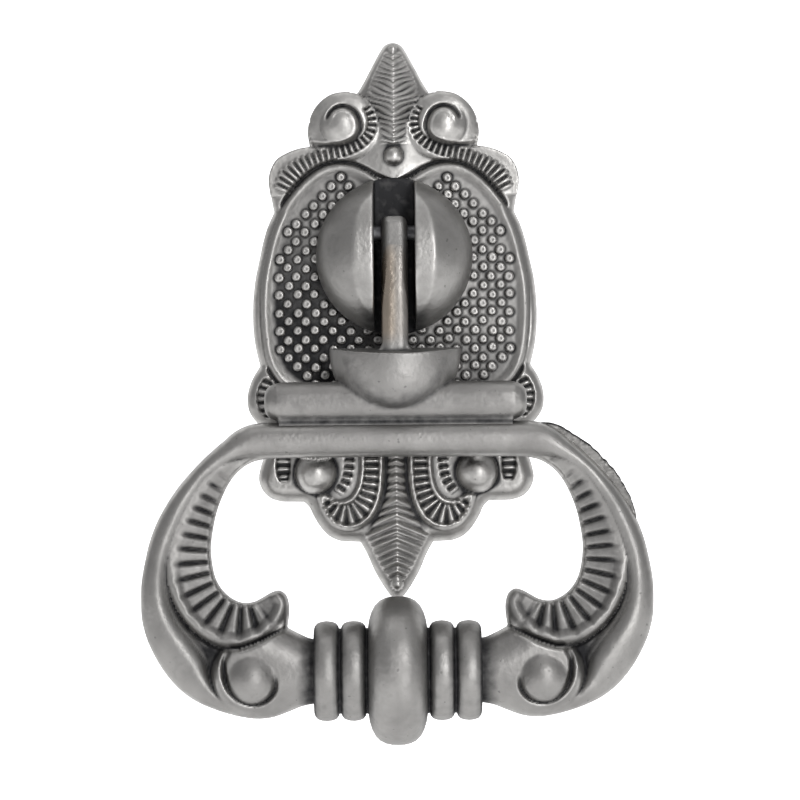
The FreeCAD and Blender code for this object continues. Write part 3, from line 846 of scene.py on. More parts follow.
@dataclass
class Backplate:
    """The ornate plate: spires, volutes, ribbed leaf bands, balls and a beaded field."""

    spacing: float = 0.17
    reach: tuple[Spot, Spot] = ((-19.6, -44.8), (19.6, 28.3))
    edge_depth: float = 0.9
    edge_round: float = 1.9
    ground: float = 2.7
    ground_lift: float = 0.45
    field_depth: float = 2.95
    rim_depth: float = 3.3
    rim_width: float = 1.6
    rim_round: float = 0.55
    moat_gap: float = 0.25
    moat_width: float = 0.7
    moat_depth: float = 0.7
    hole_radius: float = 3.3
    hole_edge: float = 4.0
    back_step: float = 0.12
    tip_low: Path = ((0.0, -44.6), (0.75, -44.4), (1.3, -43.75))
    spire_low: Path = ((1.3, -43.75), (2.0, -42.7), (3.0, -40.9), (4.0, -38.6), (4.75, -37.25))
    lobe_low: Path = (
        (4.75, -37.25), (5.9, -37.2), (7.5, -37.05), (9.0, -36.3), (10.0, -35.2), (10.9, -33.7),
        (11.5, -32.5), (12.1, -31.95),
    )
    ledge: Path = ((12.1, -31.95), (15.0, -31.9))
    lobe_outer: Path = (
        (15.0, -31.9), (16.5, -31.4), (17.5, -30.4), (18.0, -29.0), (17.8, -27.5), (17.2, -25.7),
    )
    waist: Path = ((17.2, -25.7), (16.7, -24.2), (17.2, -22.4))
    lobe_side: Path = (
        (17.2, -22.4), (18.3, -21.4), (19.2, -20.0), (19.4, -18.2), (18.9, -16.2), (17.7, -14.1),
    )
    oval_side: Path = (
        (17.7, -14.1), (18.2, -12.0), (18.5, -9.9), (18.6, -7.8), (18.5, -5.0), (18.2, -2.6),
        (17.7, -0.3), (17.2, 2.0), (16.6, 4.0), (15.7, 6.0),
    )
    wing: Path = (
        (15.7, 6.0), (16.1, 8.3), (16.3, 10.0), (16.0, 11.5), (15.2, 12.8), (13.9, 13.6), (12.4, 14.15),
        (10.9, 14.4),
    )
    volute_edge: Path = (
        (10.9, 14.4), (11.15, 16.2), (10.8, 18.2), (9.7, 20.0), (8.1, 21.15), (6.3, 21.5), (4.7, 21.5),
    )
    spire_top: Path = ((4.7, 21.5), (3.9, 22.8), (3.1, 24.3), (2.4, 25.6), (1.75, 26.8))
    tip_top: Path = ((1.75, 26.8), (1.1, 27.7), (0.45, 28.05), (0.0, 28.1))
    heart: Path = (
        (0.0, -19.2), (9.0, -18.7), (13.4, -17.6), (15.2, -16.2), (16.6, -13.9), (17.3, -10.2),
        (17.5, -6.6), (17.3, -2.6), (16.7, 0.6), (15.8, 3.6), (14.3, 6.9), (12.9, 8.8), (11.4, 10.3),
        (9.9, 11.4), (8.5, 12.0), (7.0, 12.2), (5.5, 12.0), (4.0, 11.4), (2.0, 10.2), (0.0, 9.2),
    )
    crown_from: float = 5.0
    shield_span: Spot = (8.0, 17.5)
    shield_depth: float = 3.65
    shield_fall: float = 0.55
    top_keel: Keel = Keel(
        (
            (14.6, 2.2, 4.1), (16.0, 2.1, 4.5), (18.0, 2.15, 4.8), (19.2, 2.6, 4.9), (20.6, 3.6, 5.0),
            (22.0, 3.2, 4.8), (24.0, 2.4, 4.4), (25.0, 1.9, 4.1), (26.0, 1.35, 3.8), (26.7, 1.0, 3.5),
        ),
        pitch=0.74,
        rise=0.42,
    )
    leaf_band: Band = Band(
        (
            (3.6, 19.7), (2.95, 18.6), (2.75, 17.2), (3.1, 16.0), (4.1, 14.9), (5.6, 14.1), (7.3, 13.55),
            (9.2, 13.1), (11.0, 12.4), (12.7, 11.3), (13.9, 9.9), (14.7, 8.4),
        ),
        ((0.0, 0.45), (0.15, 0.6), (0.45, 0.75), (0.7, 1.0), (0.9, 1.4), (1.0, 1.0)),
        pitch=0.78,
        ground=3.0,
        rib_height=0.75,
    )
    lobe: Dome = Dome((6.4, 17.0), radius=4.6, base=3.1, height=1.2, blend=0.4)
    bulb: Dome = Dome((6.65, 17.05), radius=2.95, base=3.1, height=2.4, blend=0.35)
    pearl: Dome = Dome((0.0, 13.1), radius=1.3, base=3.3, height=1.2, blend=0.25)
    top_bead: Dome = Dome((0.0, 27.05), radius=0.55, base=3.1, height=0.5, blend=0.1)
    spiral: Path = (
        (8.75, 17.1), (8.5, 18.2), (7.7, 19.2), (6.5, 19.55), (5.3, 19.1), (4.5, 18.0), (4.3, 16.6),
        (4.9, 15.3), (6.2, 14.6), (8.0, 14.35), (9.8, 14.5), (11.0, 14.6),
    )
    spiral_depth: float = 0.7
    spiral_width: float = 0.85
    spiral_lip: float = 0.15
    foot_span: Spot = (-37.0, -19.0)
    foot_reach: float = 12.5
    foot_depth: float = 3.35
    low_keel: Keel = Keel(
        (
            (-42.2, 1.0, 3.5), (-41.0, 1.8, 3.8), (-40.0, 2.4, 4.2), (-38.0, 3.3, 4.8), (-36.3, 4.2, 5.0),
            (-34.0, 2.6, 4.8), (-32.0, 1.75, 4.6), (-30.0, 1.3, 4.5), (-26.0, 1.2, 4.4), (-24.0, 1.2, 4.2),
        ),
        pitch=1.02,
        rise=-0.42,
    )
    crescent: Band = Band(
        (
            (3.2, -24.5), (3.15, -27.0), (3.25, -29.0), (3.75, -31.2), (4.9, -33.0), (6.6, -33.65),
            (8.2, -33.0), (9.4, -31.4),
        ),
        ((0.0, 0.95), (0.3, 1.0), (0.55, 1.25), (0.8, 1.4), (1.0, 0.7)),
        pitch=1.02,
        ground=2.95,
        rib_height=0.6,
    )
    crescent_rim: Path = (
        (1.95, -24.5), (1.95, -28.0), (2.15, -30.2), (2.7, -32.3), (3.7, -34.0), (5.1, -35.0),
        (6.6, -35.2), (8.1, -34.6), (9.2, -33.2), (9.9, -31.3),
    )
    crescent_rim_height: float = 0.55
    crescent_rim_width: float = 1.1
    crescent_inner: Path = (
        (4.4, -24.5), (4.4, -28.2), (4.9, -30.3), (6.0, -31.7), (7.6, -32.1), (9.3, -31.2),
    )
    crescent_inner_height: float = 0.5
    crescent_inner_width: float = 0.95
    bead_band: Band = Band(
        ((6.1, -24.8), (6.1, -27.0), (6.6, -29.2), (7.8, -30.9)),
        ((0.0, 0.6), (1.0, 0.6)),
        pitch=1.0,
        ground=3.0,
        rib_height=0.6,
    )
    side_recess: Band = Band(
        ((16.2, -20.9), (17.0, -19.4), (17.1, -17.6), (16.4, -15.6)),
        ((0.0, 0.95), (1.0, 0.95)),
        pitch=0.9,
        ground=2.4,
        rib_height=0.5,
        bow=0.5,
    )
    low_recess: Band = Band(
        ((14.5, -24.6), (14.7, -27.0), (14.6, -29.3)),
        ((0.0, 0.95), (1.0, 0.95)),
        pitch=1.0,
        ground=2.4,
        rib_height=0.5,
        bow=0.5,
    )
    ball: Dome = Dome((10.5, -28.1), radius=2.85, base=2.6, height=2.9, blend=0.25)
    low_bead: Dome = Dome((0.0, -42.7), radius=0.85, base=3.2, height=0.85, blend=0.12)
    bead_radius: float = 0.68
    bead_profile: Path = ((-0.3, 1.0), (0.2, 1.0), (0.48, 0.94), (0.68, 0.74), (0.76, 0.48), (0.66, 0.16))
    bead_pitch: float = 2.3
    bead_row: float = 1.17
    bead_rows: Spot = (12.6, -19.5)
    bead_columns: int = 8
    bead_drift: float = 0.12
    bead_spread: float = 0.06
    bead_keep_in: float = 1.75
    bead_keep_off: float = 10.0
    hollow_size: Spot = (13.5, 11.0)
    hollow_middle: float = -2.5
    hollow_depth: float = 0.9
    boss_radius: float = 5.4

    def __post_init__(self) -> None:
        """Samples the routes of the ornament."""
        self.outline = Route(
            self.tip_low, self.spire_low, self.lobe_low, self.ledge, self.lobe_outer, self.waist, self.lobe_side,
            self.oval_side, self.wing, self.volute_edge, self.spire_top, self.tip_top,
        )
        self.field = Route(self.heart)

    def relief(self, x: Array, z: Array) -> Array:
        """The depth of the front of the plate.

        Args:
            x: distance from the axis.
            z: height.

        Returns:
            The depth in front of the back, one value a point.
        """
        inward, _ = self.outline.depth_inside(x, z)
        rise = self.ground + self.ground_lift - self.edge_depth
        depth = self.edge_depth + rise * rolled(inward / self.edge_round)
        return self.oval(self.foot(self.crown(depth, x, z), x, z), inward, x, z)

    def crown(self, depth: Array, x: Array, z: Array) -> Array:
        """Lays the top of the plate: spire, volutes, leaf bands and the shield with its pearl.

        Args:
            depth: the relief so far.
            x: distance from the axis.
            z: height.

        Returns:
            The relief with the top.
        """
        upper = z > self.crown_from
        low, high = self.shield_span
        shield = self.shield_depth - self.shield_fall * eased(x, 0.3, 6.0)
        depth = joined(depth, np.where((z > low) & (z < high), shield, -FAR), 0.3)
        depth = self.bulb.laid(self.lobe.laid(depth, x, z), x, z)
        groove = Route(self.spiral)
        near = groove.beside(x, z)
        run_out = 1.0 - 0.6 * eased(near.along, groove.length - 3.0, groove.length)
        taper = eased(near.along, 0.0, 1.4) * run_out
        depth = depth - self.spiral_depth * taper * bump(near.distance, self.spiral_width) * upper
        lip = bump(np.where(near.left > 0, near.distance - 0.55, FAR), 0.5)
        depth = depth + self.spiral_lip * lip * taper * upper
        for ornament in (self.top_keel, self.leaf_band, self.pearl, self.top_bead):
            depth = ornament.laid(depth, x, z)
        return depth

    def foot(self, depth: Array, x: Array, z: Array) -> Array:
        """Lays the bottom of the plate: spire, balls, ribbed crescents and recesses.

        Args:
            depth: the relief so far.
            x: distance from the axis.
            z: height.

        Returns:
            The relief with the bottom.
        """
        outer = Route(self.crescent_rim).beside(x, z)
        inner = Route(self.crescent_inner).beside(x, z)
        low, high = self.foot_span
        lower = z < high
        on_foot = lower & (z > low) & (x < self.foot_reach) & (outer.left > 0)
        depth = np.where(on_foot, np.maximum(depth, self.foot_depth), depth)
        depth = self.crescent.laid(self.low_keel.laid(depth, x, z), x, z)
        depth = depth + self.crescent_rim_height * bump(outer.distance, self.crescent_rim_width) * lower
        depth = depth + self.crescent_inner_height * bump(inner.distance, self.crescent_inner_width) * lower
        for ornament in (self.bead_band, self.side_recess, self.low_recess, self.ball, self.low_bead):
            depth = ornament.laid(depth, x, z)
        return depth

    def oval(self, depth: Array, inward: Array, x: Array, z: Array) -> Array:
        """Lays the beaded field's ground inside its raised rim.

        Args:
            depth: the relief so far.
            inward: the distance in from the plate's outline.
            x: distance from the axis.
            z: height.

        Returns:
            The relief with the oval.
        """
        inside, _ = self.field.depth_inside(x, z)
        moat = bump(inside + self.moat_gap, self.moat_width) * eased(inward, 0.7, 1.4)
        depth = depth - self.moat_depth * moat
        rim = self.rim_depth - self.rim_round + self.rim_round * rolled(inside / self.rim_round)
        fall = eased(inside, 0.5, self.rim_width)
        raised = rim * (1.0 - fall) + self.field_depth * fall
        edge = self.edge_depth + (self.rim_depth - self.edge_depth) * rolled(inward / self.edge_round)
        return np.where(inside > 0.0, np.minimum(raised, edge), depth)

    @staticmethod
    def off_axis(vertex: bmesh.types.BMVert) -> float:
        """How far a vertex stands from the axis of the hole."""
        return math.hypot(vertex.co.x, vertex.co.z)

    def casting(self) -> Form:
        """Models the plate.

        Returns:
            The closed casting with its hole and the hollow in its back.
        """
        grid = trimmed_grid(self.outline, *self.reach, self.spacing)
        hole = [vertex for vertex in grid.verts if self.off_axis(vertex) < self.hole_radius]
        bmesh.ops.delete(grid, geom=hole, context="VERTS")
        for vertex in [v for v in grid.verts if v.is_boundary and self.off_axis(v) < self.hole_edge]:
            reach = self.hole_radius / self.off_axis(vertex)
            vertex.co.x *= reach
            vertex.co.z *= reach
        lay_relief(grid, self.relief)
        border = [edge for edge in grid.edges if edge.is_boundary]
        for depth in (self.back_step, 0.0):
            border = walled(grid, border, depth)
        self.close_back(grid, border)
        bmesh.ops.recalc_face_normals(grid, faces=grid.faces)
        return grid

    def close_back(self, plate: Form, border: list) -> None:
        """Closes the back round the hole and the shallow hollow.

        Args:
            plate: the plate's front and walls.
            border: the open edges on the back plane, round the outline and round the hole.
        """
        hole = [edge for edge in border if self.off_axis(edge.verts[0]) < self.hole_edge]
        rim = [edge for edge in border if edge not in set(hole)]
        oval = self.ring(plate, self.hollow_size, self.hollow_middle, 96)
        boss = self.ring(plate, (self.boss_radius, self.boss_radius), 0.0, 64)
        bmesh.ops.triangle_fill(plate, edges=rim + oval, use_beauty=True)
        bmesh.ops.triangle_fill(plate, edges=hole + boss, use_beauty=True)
        floor = [edge for ring in (oval, boss) for edge in walled(plate, ring, self.hollow_depth)]
        bmesh.ops.triangle_fill(plate, edges=floor, use_beauty=True)

    @staticmethod
    def ring(plate: Form, half: Spot, height: float, sides: int) -> list:
        """Edges of an oval ring on the back plane, at a height on the axis."""
        made = bmesh.ops.create_circle(plate, cap_ends=False, radius=1.0, segments=sides)["verts"]
        turn = Matrix.Translation((0.0, 0.0, height)) @ UPRIGHT
        bmesh.ops.transform(plate, matrix=turn @ Matrix.Diagonal((*half, 1.0, 1.0)), verts=made)
        return list({edge for vertex in made for edge in vertex.link_edges})

    def bead_spots(self) -> Array:
        """Spreads the beads over the field, each a little off its place as the tool left it.

        Returns:
            The middle of each bead, as rows of x and z.
        """
        spots = []
        for number, z in enumerate(np.arange(*self.bead_rows, -self.bead_row)):
            shift = self.bead_pitch / 2 * (number % 2)
            columns = range(-self.bead_columns, self.bead_columns + 1)
            spots += [(column * self.bead_pitch + shift, z) for column in columns]
        x, z = np.array(spots).T
        room, _ = self.field.depth_inside(np.abs(x), z)
        keep = (room > self.bead_keep_in) & (np.hypot(x, z) > self.bead_keep_off)
        places = np.column_stack((x[keep], z[keep]))
        return places + np.random.default_rng(7).uniform(-self.bead_drift, self.bead_drift, places.shape)

    def beads(self) -> Form:
        """Models the small domed beads of the field, each with a shallow dimple.

        Returns:
            All the beads in one form.
        """
        random = np.random.default_rng(11)
        form = bmesh.new()
        for middle_x, middle_z in self.bead_spots():
            size = self.bead_radius * random.uniform(1.0 - self.bead_spread, 1.0 + self.bead_spread)
            start = Vector((middle_x, -self.field_depth, middle_z))
            turned = tuple((reach, share * size) for reach, share in self.bead_profile)
            poured(form, lathe(turned, FORWARD, start, 12))
        return form

    def masks(self, places: Array) -> dict[str, Array]:
        """Puts the dark finish round the beads, paints shade over the left and lower field and light over its
        right half, and takes the dark finish off the rubbed spires.

        Args:
            places: the places of the vertices.

        Returns:
            The grime with painted shade, and the wear with painted light, of each vertex.
        """
        x, z, depth = places[:, 0], places[:, 2], -places[:, 1]
        inside, _ = self.field.depth_inside(np.abs(x), z)
        on_field = inside > 0.8
        # Painted shade: the field darkens towards its left side and its bottom, away from the key light.
        uneven = 0.14 + 0.7 * eased(-x, -2.0, 8.0) * eased(-z, -6.0, 3.0) + 0.2 * eased(-z, 4.0, 12.0)
        gap = np.full(x.shape, FAR)
        for middle_x, middle_z in self.bead_spots():
            np.minimum(gap, np.hypot(x - middle_x, z - middle_z), out=gap)
        ring = 0.75 * (1.0 - eased(gap, self.bead_radius + 0.05, self.bead_radius + 0.4))
        field = np.maximum(uneven * eased(inside, 1.5, 2.2), ring) * on_field
        spires = 0.2 * (np.abs(x) < 4.2) * ((z > 14.6) | (z < -23.0))
        crown = 0.55 * (inside < -0.3) * eased(depth, 2.9, 3.5)
        rim = 0.5 * eased(inside, -0.3, 0.0) * (1.0 - eased(inside, 0.3, 0.8))
        # Painted light: the right half of the field is brightened.
        wear_and_light = crown - rim + 0.25 * eased(x, 0.0, 8.0) * on_field
        on_front = depth > 2.0
        return {"grime_and_shade": (field - spires) * on_front, "wear_and_light": wear_and_light * on_front}

    @staticmethod
    def bead_masks(places: Array) -> dict[str, Array]:
        """The dark finish round the foot of each bead."""
        return {"grime_and_shade": 0.9 * (1.0 - eased(-places[:, 1], 3.0, 3.5))}

    def build(self, shop: Workshop) -> None:
        """Models and places the plate and its beads."""
        cast = Patina(hollow_depth=0.26, pit_depth=0.17, crest_height=0.08, ridge_share=0.2)
        beads = Patina(fine=0.3, broad=0.4, hollow_depth=0.3, crest_height=0.04)
        for form, name, spacing, patina, masks in (
            (self.casting(), "backplate_casting", self.spacing, cast, self.masks),
            (self.beads(), "backplate_beads", 0.25, beads, self.bead_masks),
        ):
            shop.place(form, name, Body.PLATE, "backplate", spacing, patina=patina, masks=masks)


@dataclass
class SlottedPost:
    """The domed post: two lobes beside a slot, a foot, and a threaded shank behind the plate."""

    radius: float = 10.2
    middle_depth: float = 3.9
    slot_half: float = 2.65
    slot_floor: float = 4.8
    land_depth: float = 12.65
    land_bow: float = 22.0
    foot_radius: float = 7.4
    foot_back: float = 3.0
    foot_front: float = 4.3
    shank_radius: float = 3.2
    shank_length: float = 4.0
    thread_radius: float = 1.65
    thread_depth: float = 0.25
    thread_pitch: float = 0.7
    thread_length: float = 4.2
    pin_depth: float = 7.2
    pin_z: float = 2.8
    pin_radius: float = 1.0
    pin_end: float = 0.7
    voxel: float = 0.17
    softening: int = 5

    def head(self) -> Form:
        """Models the dome with its slot.

        Returns:
            One skin over both lobes, the slot floor and the foot.
        """
        whole = bmesh.new()
        for place, away in (
            ((self.slot_half, 0.0, 0.0), (-1.0, 0.0, 0.0)),
            ((-self.slot_half, 0.0, 0.0), (1.0, 0.0, 0.0)),
            ((0.0, -self.slot_floor, 0.0), (0.0, -1.0, 0.0)),
        ):
            lobe = bmesh.new()
            bmesh.ops.create_uvsphere(lobe, u_segments=128, v_segments=96, radius=self.radius)
            bmesh.ops.translate(lobe, vec=(0.0, -self.middle_depth, 0.0), verts=lobe.verts)
            for vertex in lobe.verts:
                vertex.co.y = max(vertex.co.y, vertex.co.z**2 / self.land_bow - self.land_depth)
            cut_off(lobe, (0.0, -self.middle_depth, 0.0), (0.0, 1.0, 0.0))
            cut_off(lobe, place, away)
            poured(whole, lobe)
        foot = ((self.foot_back, self.foot_radius), (self.foot_front, self.foot_radius))
        poured(whole, lathe(foot, FORWARD, ORIGIN, 96))
        return fused(whole, self.voxel, self.softening)

    def shank(self) -> Form:
        """Models the shank with the thread cut in its bore.

        Returns:
            The turned shank.
        """
        groove = self.thread_radius + self.thread_depth
        length, radius = self.shank_length, self.shank_radius
        profile = [(length, radius), (0.2, radius), (0.0, radius - 0.2), (0.0, groove)]
        for number in range(int(self.thread_length / self.thread_pitch)):
            start = self.thread_pitch * number
            profile += [(start + 0.2, self.thread_radius), (start + 0.5, groove)]
        profile += [(length - 0.2, self.thread_radius * 0.6)]
        return lathe(tuple(profile), FORWARD, ORIGIN, 64)

    def pin(self) -> Form:
        """Models the pivot pin with its chamfered ends.

        Returns:
            The turned pin.
        """
        reach = math.hypot(self.pin_depth - self.middle_depth, self.pin_z) + self.pin_radius
        half = math.sqrt(self.radius**2 - reach**2) - 0.1
        ends = ((half - 0.3, 1.0), (half, self.pin_end))
        row = ((-half, self.pin_end), (-half + 0.3, 1.0), (-2.0, 1.0), (2.0, 1.0), *ends)
        profile = tuple((along, share * self.pin_radius) for along, share in row)
        return lathe(profile, ACROSS, Vector((0.0, -self.pin_depth, self.pin_z)), 48)

    def masks(self, places: Array) -> dict[str, Array]:
        """Paints shade in the slot and on the pin inside it, at the bottom of the dome beside the slot and on the
        left flank, and paints light towards the right.

        Args:
            places: the places of the vertices.

        Returns:
            The painted shade, and the wear with painted light, of each vertex.
        """
        x, z = places[:, 0], places[:, 2]
        # Painted shade in the slot; it also darkens the pin that sits there.
        within = 1.2 * (1.0 - eased(np.abs(x), self.slot_half - 0.25, self.slot_half + 0.1))
        # Painted shade at the bottom of the dome beside the slot.
        low = 0.75 * eased(-z, 6.2, 8.2) * (1.0 - eased(np.abs(x), 3.2, 5.0))
        # Painted shade on the left flank, away from the key light.
        flank = 0.3 * np.exp(-((x + 8.0) ** 2) / 2.0 - (z - 1.0) ** 2 / 9.0)
        # Painted light: the dome brightens towards the right.
        return {"grime_and_shade": within + low + flank, "wear_and_light": 0.15 + 0.1 * eased(x, -6.0, 6.0)}

    def build(self, shop: Workshop) -> None:
        """Models and places the post and its pin."""
        patina = Patina(fine=0.4, broad=1.6, hollow_depth=0.5, crest_height=0.05, ridge_share=0.1)
        for form, name, node, spacing, metal, masks, crease in (
            (self.head(), "post_head", "slotted_post", self.voxel, Metal.PEWTER, self.masks, 180.0),
            (self.shank(), "post_shank", "slotted_post", 0.4, Metal.PEWTER, None, 40.0),
            (self.pin(), "pivot_pin_rod", "pivot_pin", 0.4, Metal.STEEL, self.masks, 40.0),
        ):
            shop.place(form, name, Body.PLATE, node, spacing, metal, patina, masks, crease)


@dataclass
class Bail:
    """The swinging casting: loop with ribbed leaf arms and volutes, turned grip, bars, half-moon and tongue."""

    spacing: float = 0.19
    voxel: float = 0.17
    middle: float = 9.8
    bar_top: Path = ((0.0, -21.45), (17.0, -21.45))
    outer: Path = (
        (17.0, -21.45), (19.0, -21.8), (20.5, -22.5), (22.1, -23.8), (24.1, -25.5), (26.1, -27.5),
        (28.0, -29.7), (29.5, -31.9), (30.8, -34.3), (31.7, -36.7), (32.3, -39.2), (32.75, -41.8),
        (32.85, -44.2), (32.7, -46.8), (32.1, -49.1), (31.0, -51.5), (29.6, -53.7), (27.9, -55.6),
        (26.0, -57.0), (24.0, -57.95), (22.0, -58.65), (20.0, -59.15), (18.0, -59.4), (16.0, -59.2),
        (14.0, -58.5), (12.2, -57.8), (10.4, -57.45),
    )
    neck_end: Path = ((10.4, -57.45), (10.4, -49.25))
    neck_top: Path = ((10.4, -49.25), (11.3, -49.1), (12.2, -48.7), (13.2, -48.2), (14.1, -47.7))
    curl: Path = (
        (14.1, -47.7), (13.85, -46.0), (13.9, -44.5), (14.3, -43.45), (15.1, -42.95), (16.0, -43.15),
        (17.1, -43.75), (18.3, -44.35), (19.7, -44.5), (21.2, -43.9), (22.4, -42.8), (23.2, -41.4),
        (23.65, -39.5), (23.8, -37.4), (23.5, -35.0), (23.0, -32.8), (22.2, -30.7), (21.3, -29.0),
        (20.0, -27.5), (18.5, -26.55), (16.5, -26.05),
    )
    bar_low: Path = ((16.5, -26.05), (0.0, -25.95))
    ridge_inner: Path = (
        (0.0, -25.95), (8.0, -26.0), (16.5, -26.05), (19.6, -26.0), (22.2, -26.8), (24.1, -28.2),
        (25.6, -30.1), (26.9, -32.2), (27.9, -34.3), (28.8, -36.6), (29.5, -39.0), (29.7, -41.5),
        (29.3, -44.5), (28.1, -47.0), (26.2, -49.5), (24.7, -51.7), (23.9, -53.7), (22.8, -55.6),
        (21.0, -56.8), (18.6, -57.5), (16.4, -57.2), (14.9, -56.0), (14.2, -54.0),
    )
    ridge_rows: tuple[Triple, ...] = (
        (0.0, 2.25, 0.9), (17.0, 2.25, 0.9), (27.0, 2.45, 0.86), (33.0, 2.5, 0.84), (38.0, 2.6, 0.8),
        (45.0, 2.75, 0.66), (55.0, 2.9, 0.5), (60.0, 2.6, 0.5), (66.0, 0.8, 0.5),
    )
    crest: float = 0.66
    valley: float = 1.15
    snail_height: float = 3.8
    leaf_depth: float = 0.7
    rim_height: float = 0.6
    leaf_middle: Path = (
        (19.4, -26.0), (21.2, -27.3), (23.2, -29.8), (24.8, -32.9), (25.8, -36.3), (26.0, -39.6),
        (25.2, -42.7), (23.4, -45.2), (20.9, -46.5), (18.2, -46.4), (15.9, -44.9),
    )
    leaf_pitch: float = 1.72
    leaf_rim: Path = (
        (28.3, -36.6), (28.7, -39.0), (28.5, -41.2), (27.9, -43.4), (26.8, -45.6), (25.0, -47.5),
        (23.0, -48.7), (21.0, -49.15), (19.0, -48.8), (17.3, -47.9), (15.8, -46.7), (14.85, -45.2),
        (14.8, -44.2), (15.3, -43.7),
    )
    leaf_border: Path = (
        (16.5, -26.05), (19.6, -26.0), (22.2, -26.8), (24.1, -28.2), (25.6, -30.1), (26.9, -32.2),
        (27.9, -34.3), (28.7, -36.6), (29.25, -39.0), (29.3, -41.3), (28.8, -43.8), (27.7, -46.1),
        (25.8, -48.3), (23.8, -49.7), (21.9, -50.35), (20.2, -50.25), (18.4, -49.7), (16.6, -48.9),
        (15.0, -48.1), (13.6, -47.3), (12.0, -46.6),
    )
    snail_groove: Path = (
        (15.9, -53.3), (15.6, -54.3), (15.8, -55.5), (16.7, -56.6), (18.2, -57.1), (19.7, -56.8),
        (20.9, -55.9), (21.8, -54.4), (22.1, -52.7), (22.0, -51.5), (21.6, -50.7),
    )
    snail_ball: Spot = (18.6, -54.1)
    snail_ball_radius: float = 3.3
    moon_square: float = 2.35
    moon_fullness: float = 0.38
    flash_lines: tuple[tuple[Path, float], ...] = (
        (((18.6, -21.7), (20.5, -22.5), (22.1, -23.8), (24.1, -25.5), (26.1, -27.5), (28.0, -29.7), (29.5, -31.9),
          (30.7, -34.1)), 1.2),
        (((-8.3, -25.8), (-10.3, -25.85), (-12.2, -25.8)), 0.3),
        (((8.5, -21.5), (12.0, -21.5), (15.5, -21.5)), 0.3),
    )
    tongue_side: Path = (
        (5.0, 6.0), (5.0, 8.6), (4.3, 9.2), (-1.0, 10.6), (-4.5, 11.5), (-8.0, 11.9), (-14.5, 12.1),
        (-14.5, 8.2), (-8.0, 8.0), (-4.5, 7.9), (0.5, 5.4), (1.5, 5.1), (3.5, 5.1), (4.4, 5.4),
    )
    tongue_half: float = 1.7
    tongue_round: float = 1.05
    moon_half: Triple = (8.45, 6.2, 7.55)
    moon_depth: float = 8.1
    moon_back: float = 7.9
    moon_top: float = -12.4
    fillet_radius: float = 1.5
    fillet_side: float = 1.6
    fillet_top: float = -12.6
    fillet_span: Spot = (8.4, 11.7)
    upper_bar_end: Path = ((-16.8, 0.35), (-16.6, 0.62), (-16.1, 0.82), (-15.2, 0.96), (-14.0, 1.0))
    upper_bar_half: Spot = (2.1, 2.55)
    upper_bar_z: float = -18.85
    web_size: Triple = (30.0, 2.5, 2.0)
    web_z: float = -21.4
    grip_z: float = -53.35
    bead: Path = (
        (0.0, 9.5), (0.8, 9.48), (1.6, 9.3), (2.3, 8.95), (2.9, 8.35), (3.35, 7.5), (3.65, 6.5),
        (3.8, 5.5),
    )
    ring: Path = (
        (-1.6, 5.45), (-1.5, 5.75), (-1.2, 6.12), (-0.7, 6.32), (0.0, 6.4), (0.7, 6.32), (1.2, 6.12),
        (1.5, 5.75), (1.6, 5.45),
    )
    ring_centres: tuple[float, float] = (5.65, 9.1)
    neck: Path = ((10.7, 5.2), (10.8, 3.2), (12.4, 3.0))

    def __post_init__(self) -> None:
        """Samples the outline of the loop."""
        self.outline = Route(
            self.bar_top, self.outer, self.neck_end, self.neck_top, self.curl, self.bar_low,
        )
        self.outer_rim = Route(self.bar_top, self.outer)
        self.inner_rim = Route(self.neck_top, self.curl, self.bar_low)
        self.leaf_line = Route(self.leaf_border)
        self.inner_edge = Route(self.ridge_inner)

    def loop_base(self, x: Array, z: Array, front: bool) -> tuple[Array, Array, Array]:
        """The plain rolls of the loop, measured from its middle plane.

        Args:
            x: distance from the axis.
            z: height.
            front: whether the roll falls to the leaf and its groove, as it does in front.

        Returns:
            The height, the distance in from the edge of the metal, and the height of the roll's inner foot.
        """
        outside = self.outer_rim.beside(x, z).distance
        inward = np.minimum(outside, self.inner_rim.beside(x, z).distance)
        near = self.inner_edge.beside(x, z)
        rows = np.array(self.ridge_rows)
        tall, seat = (np.interp(near.along, rows[:, 0], rows[:, column]) for column in (1, 2))
        share = outside / np.maximum(outside + near.distance, 1e-6)
        fall = np.clip((share - self.crest) / (1.0 - self.crest), 0.0, 1.0)
        inner = np.sqrt(1.0 - (1.0 - seat**2) * fall**2)
        roll = np.where(share < self.crest, rolled(share / self.crest), inner)
        bar = 1.0 - eased(near.along, 16.0, 23.0)
        roll = arched(share) * bar + roll * (1.0 - bar)
        foot = tall * seat * (1.0 - bar)
        beyond = foot * (1.0 - eased(near.distance, 0.0, 1.6))
        ridge = np.where(near.left > 0, tall * roll, beyond if front else 0.0)
        ground = (self.valley if front else 1.7) * rolled(inward / 0.8)
        height = joined(ridge, ground, 0.35)
        reach = np.hypot(x - self.snail_ball[0], z - self.snail_ball[1])
        keep = 1.0 - eased(reach, 4.3, 6.2) * eased(x, 17.5, 20.5)
        body = self.snail_height * rolled(inward / 4.2) * keep * eased(-z, 46.5, 48.0)
        return joined(height, body, 0.5), inward, foot

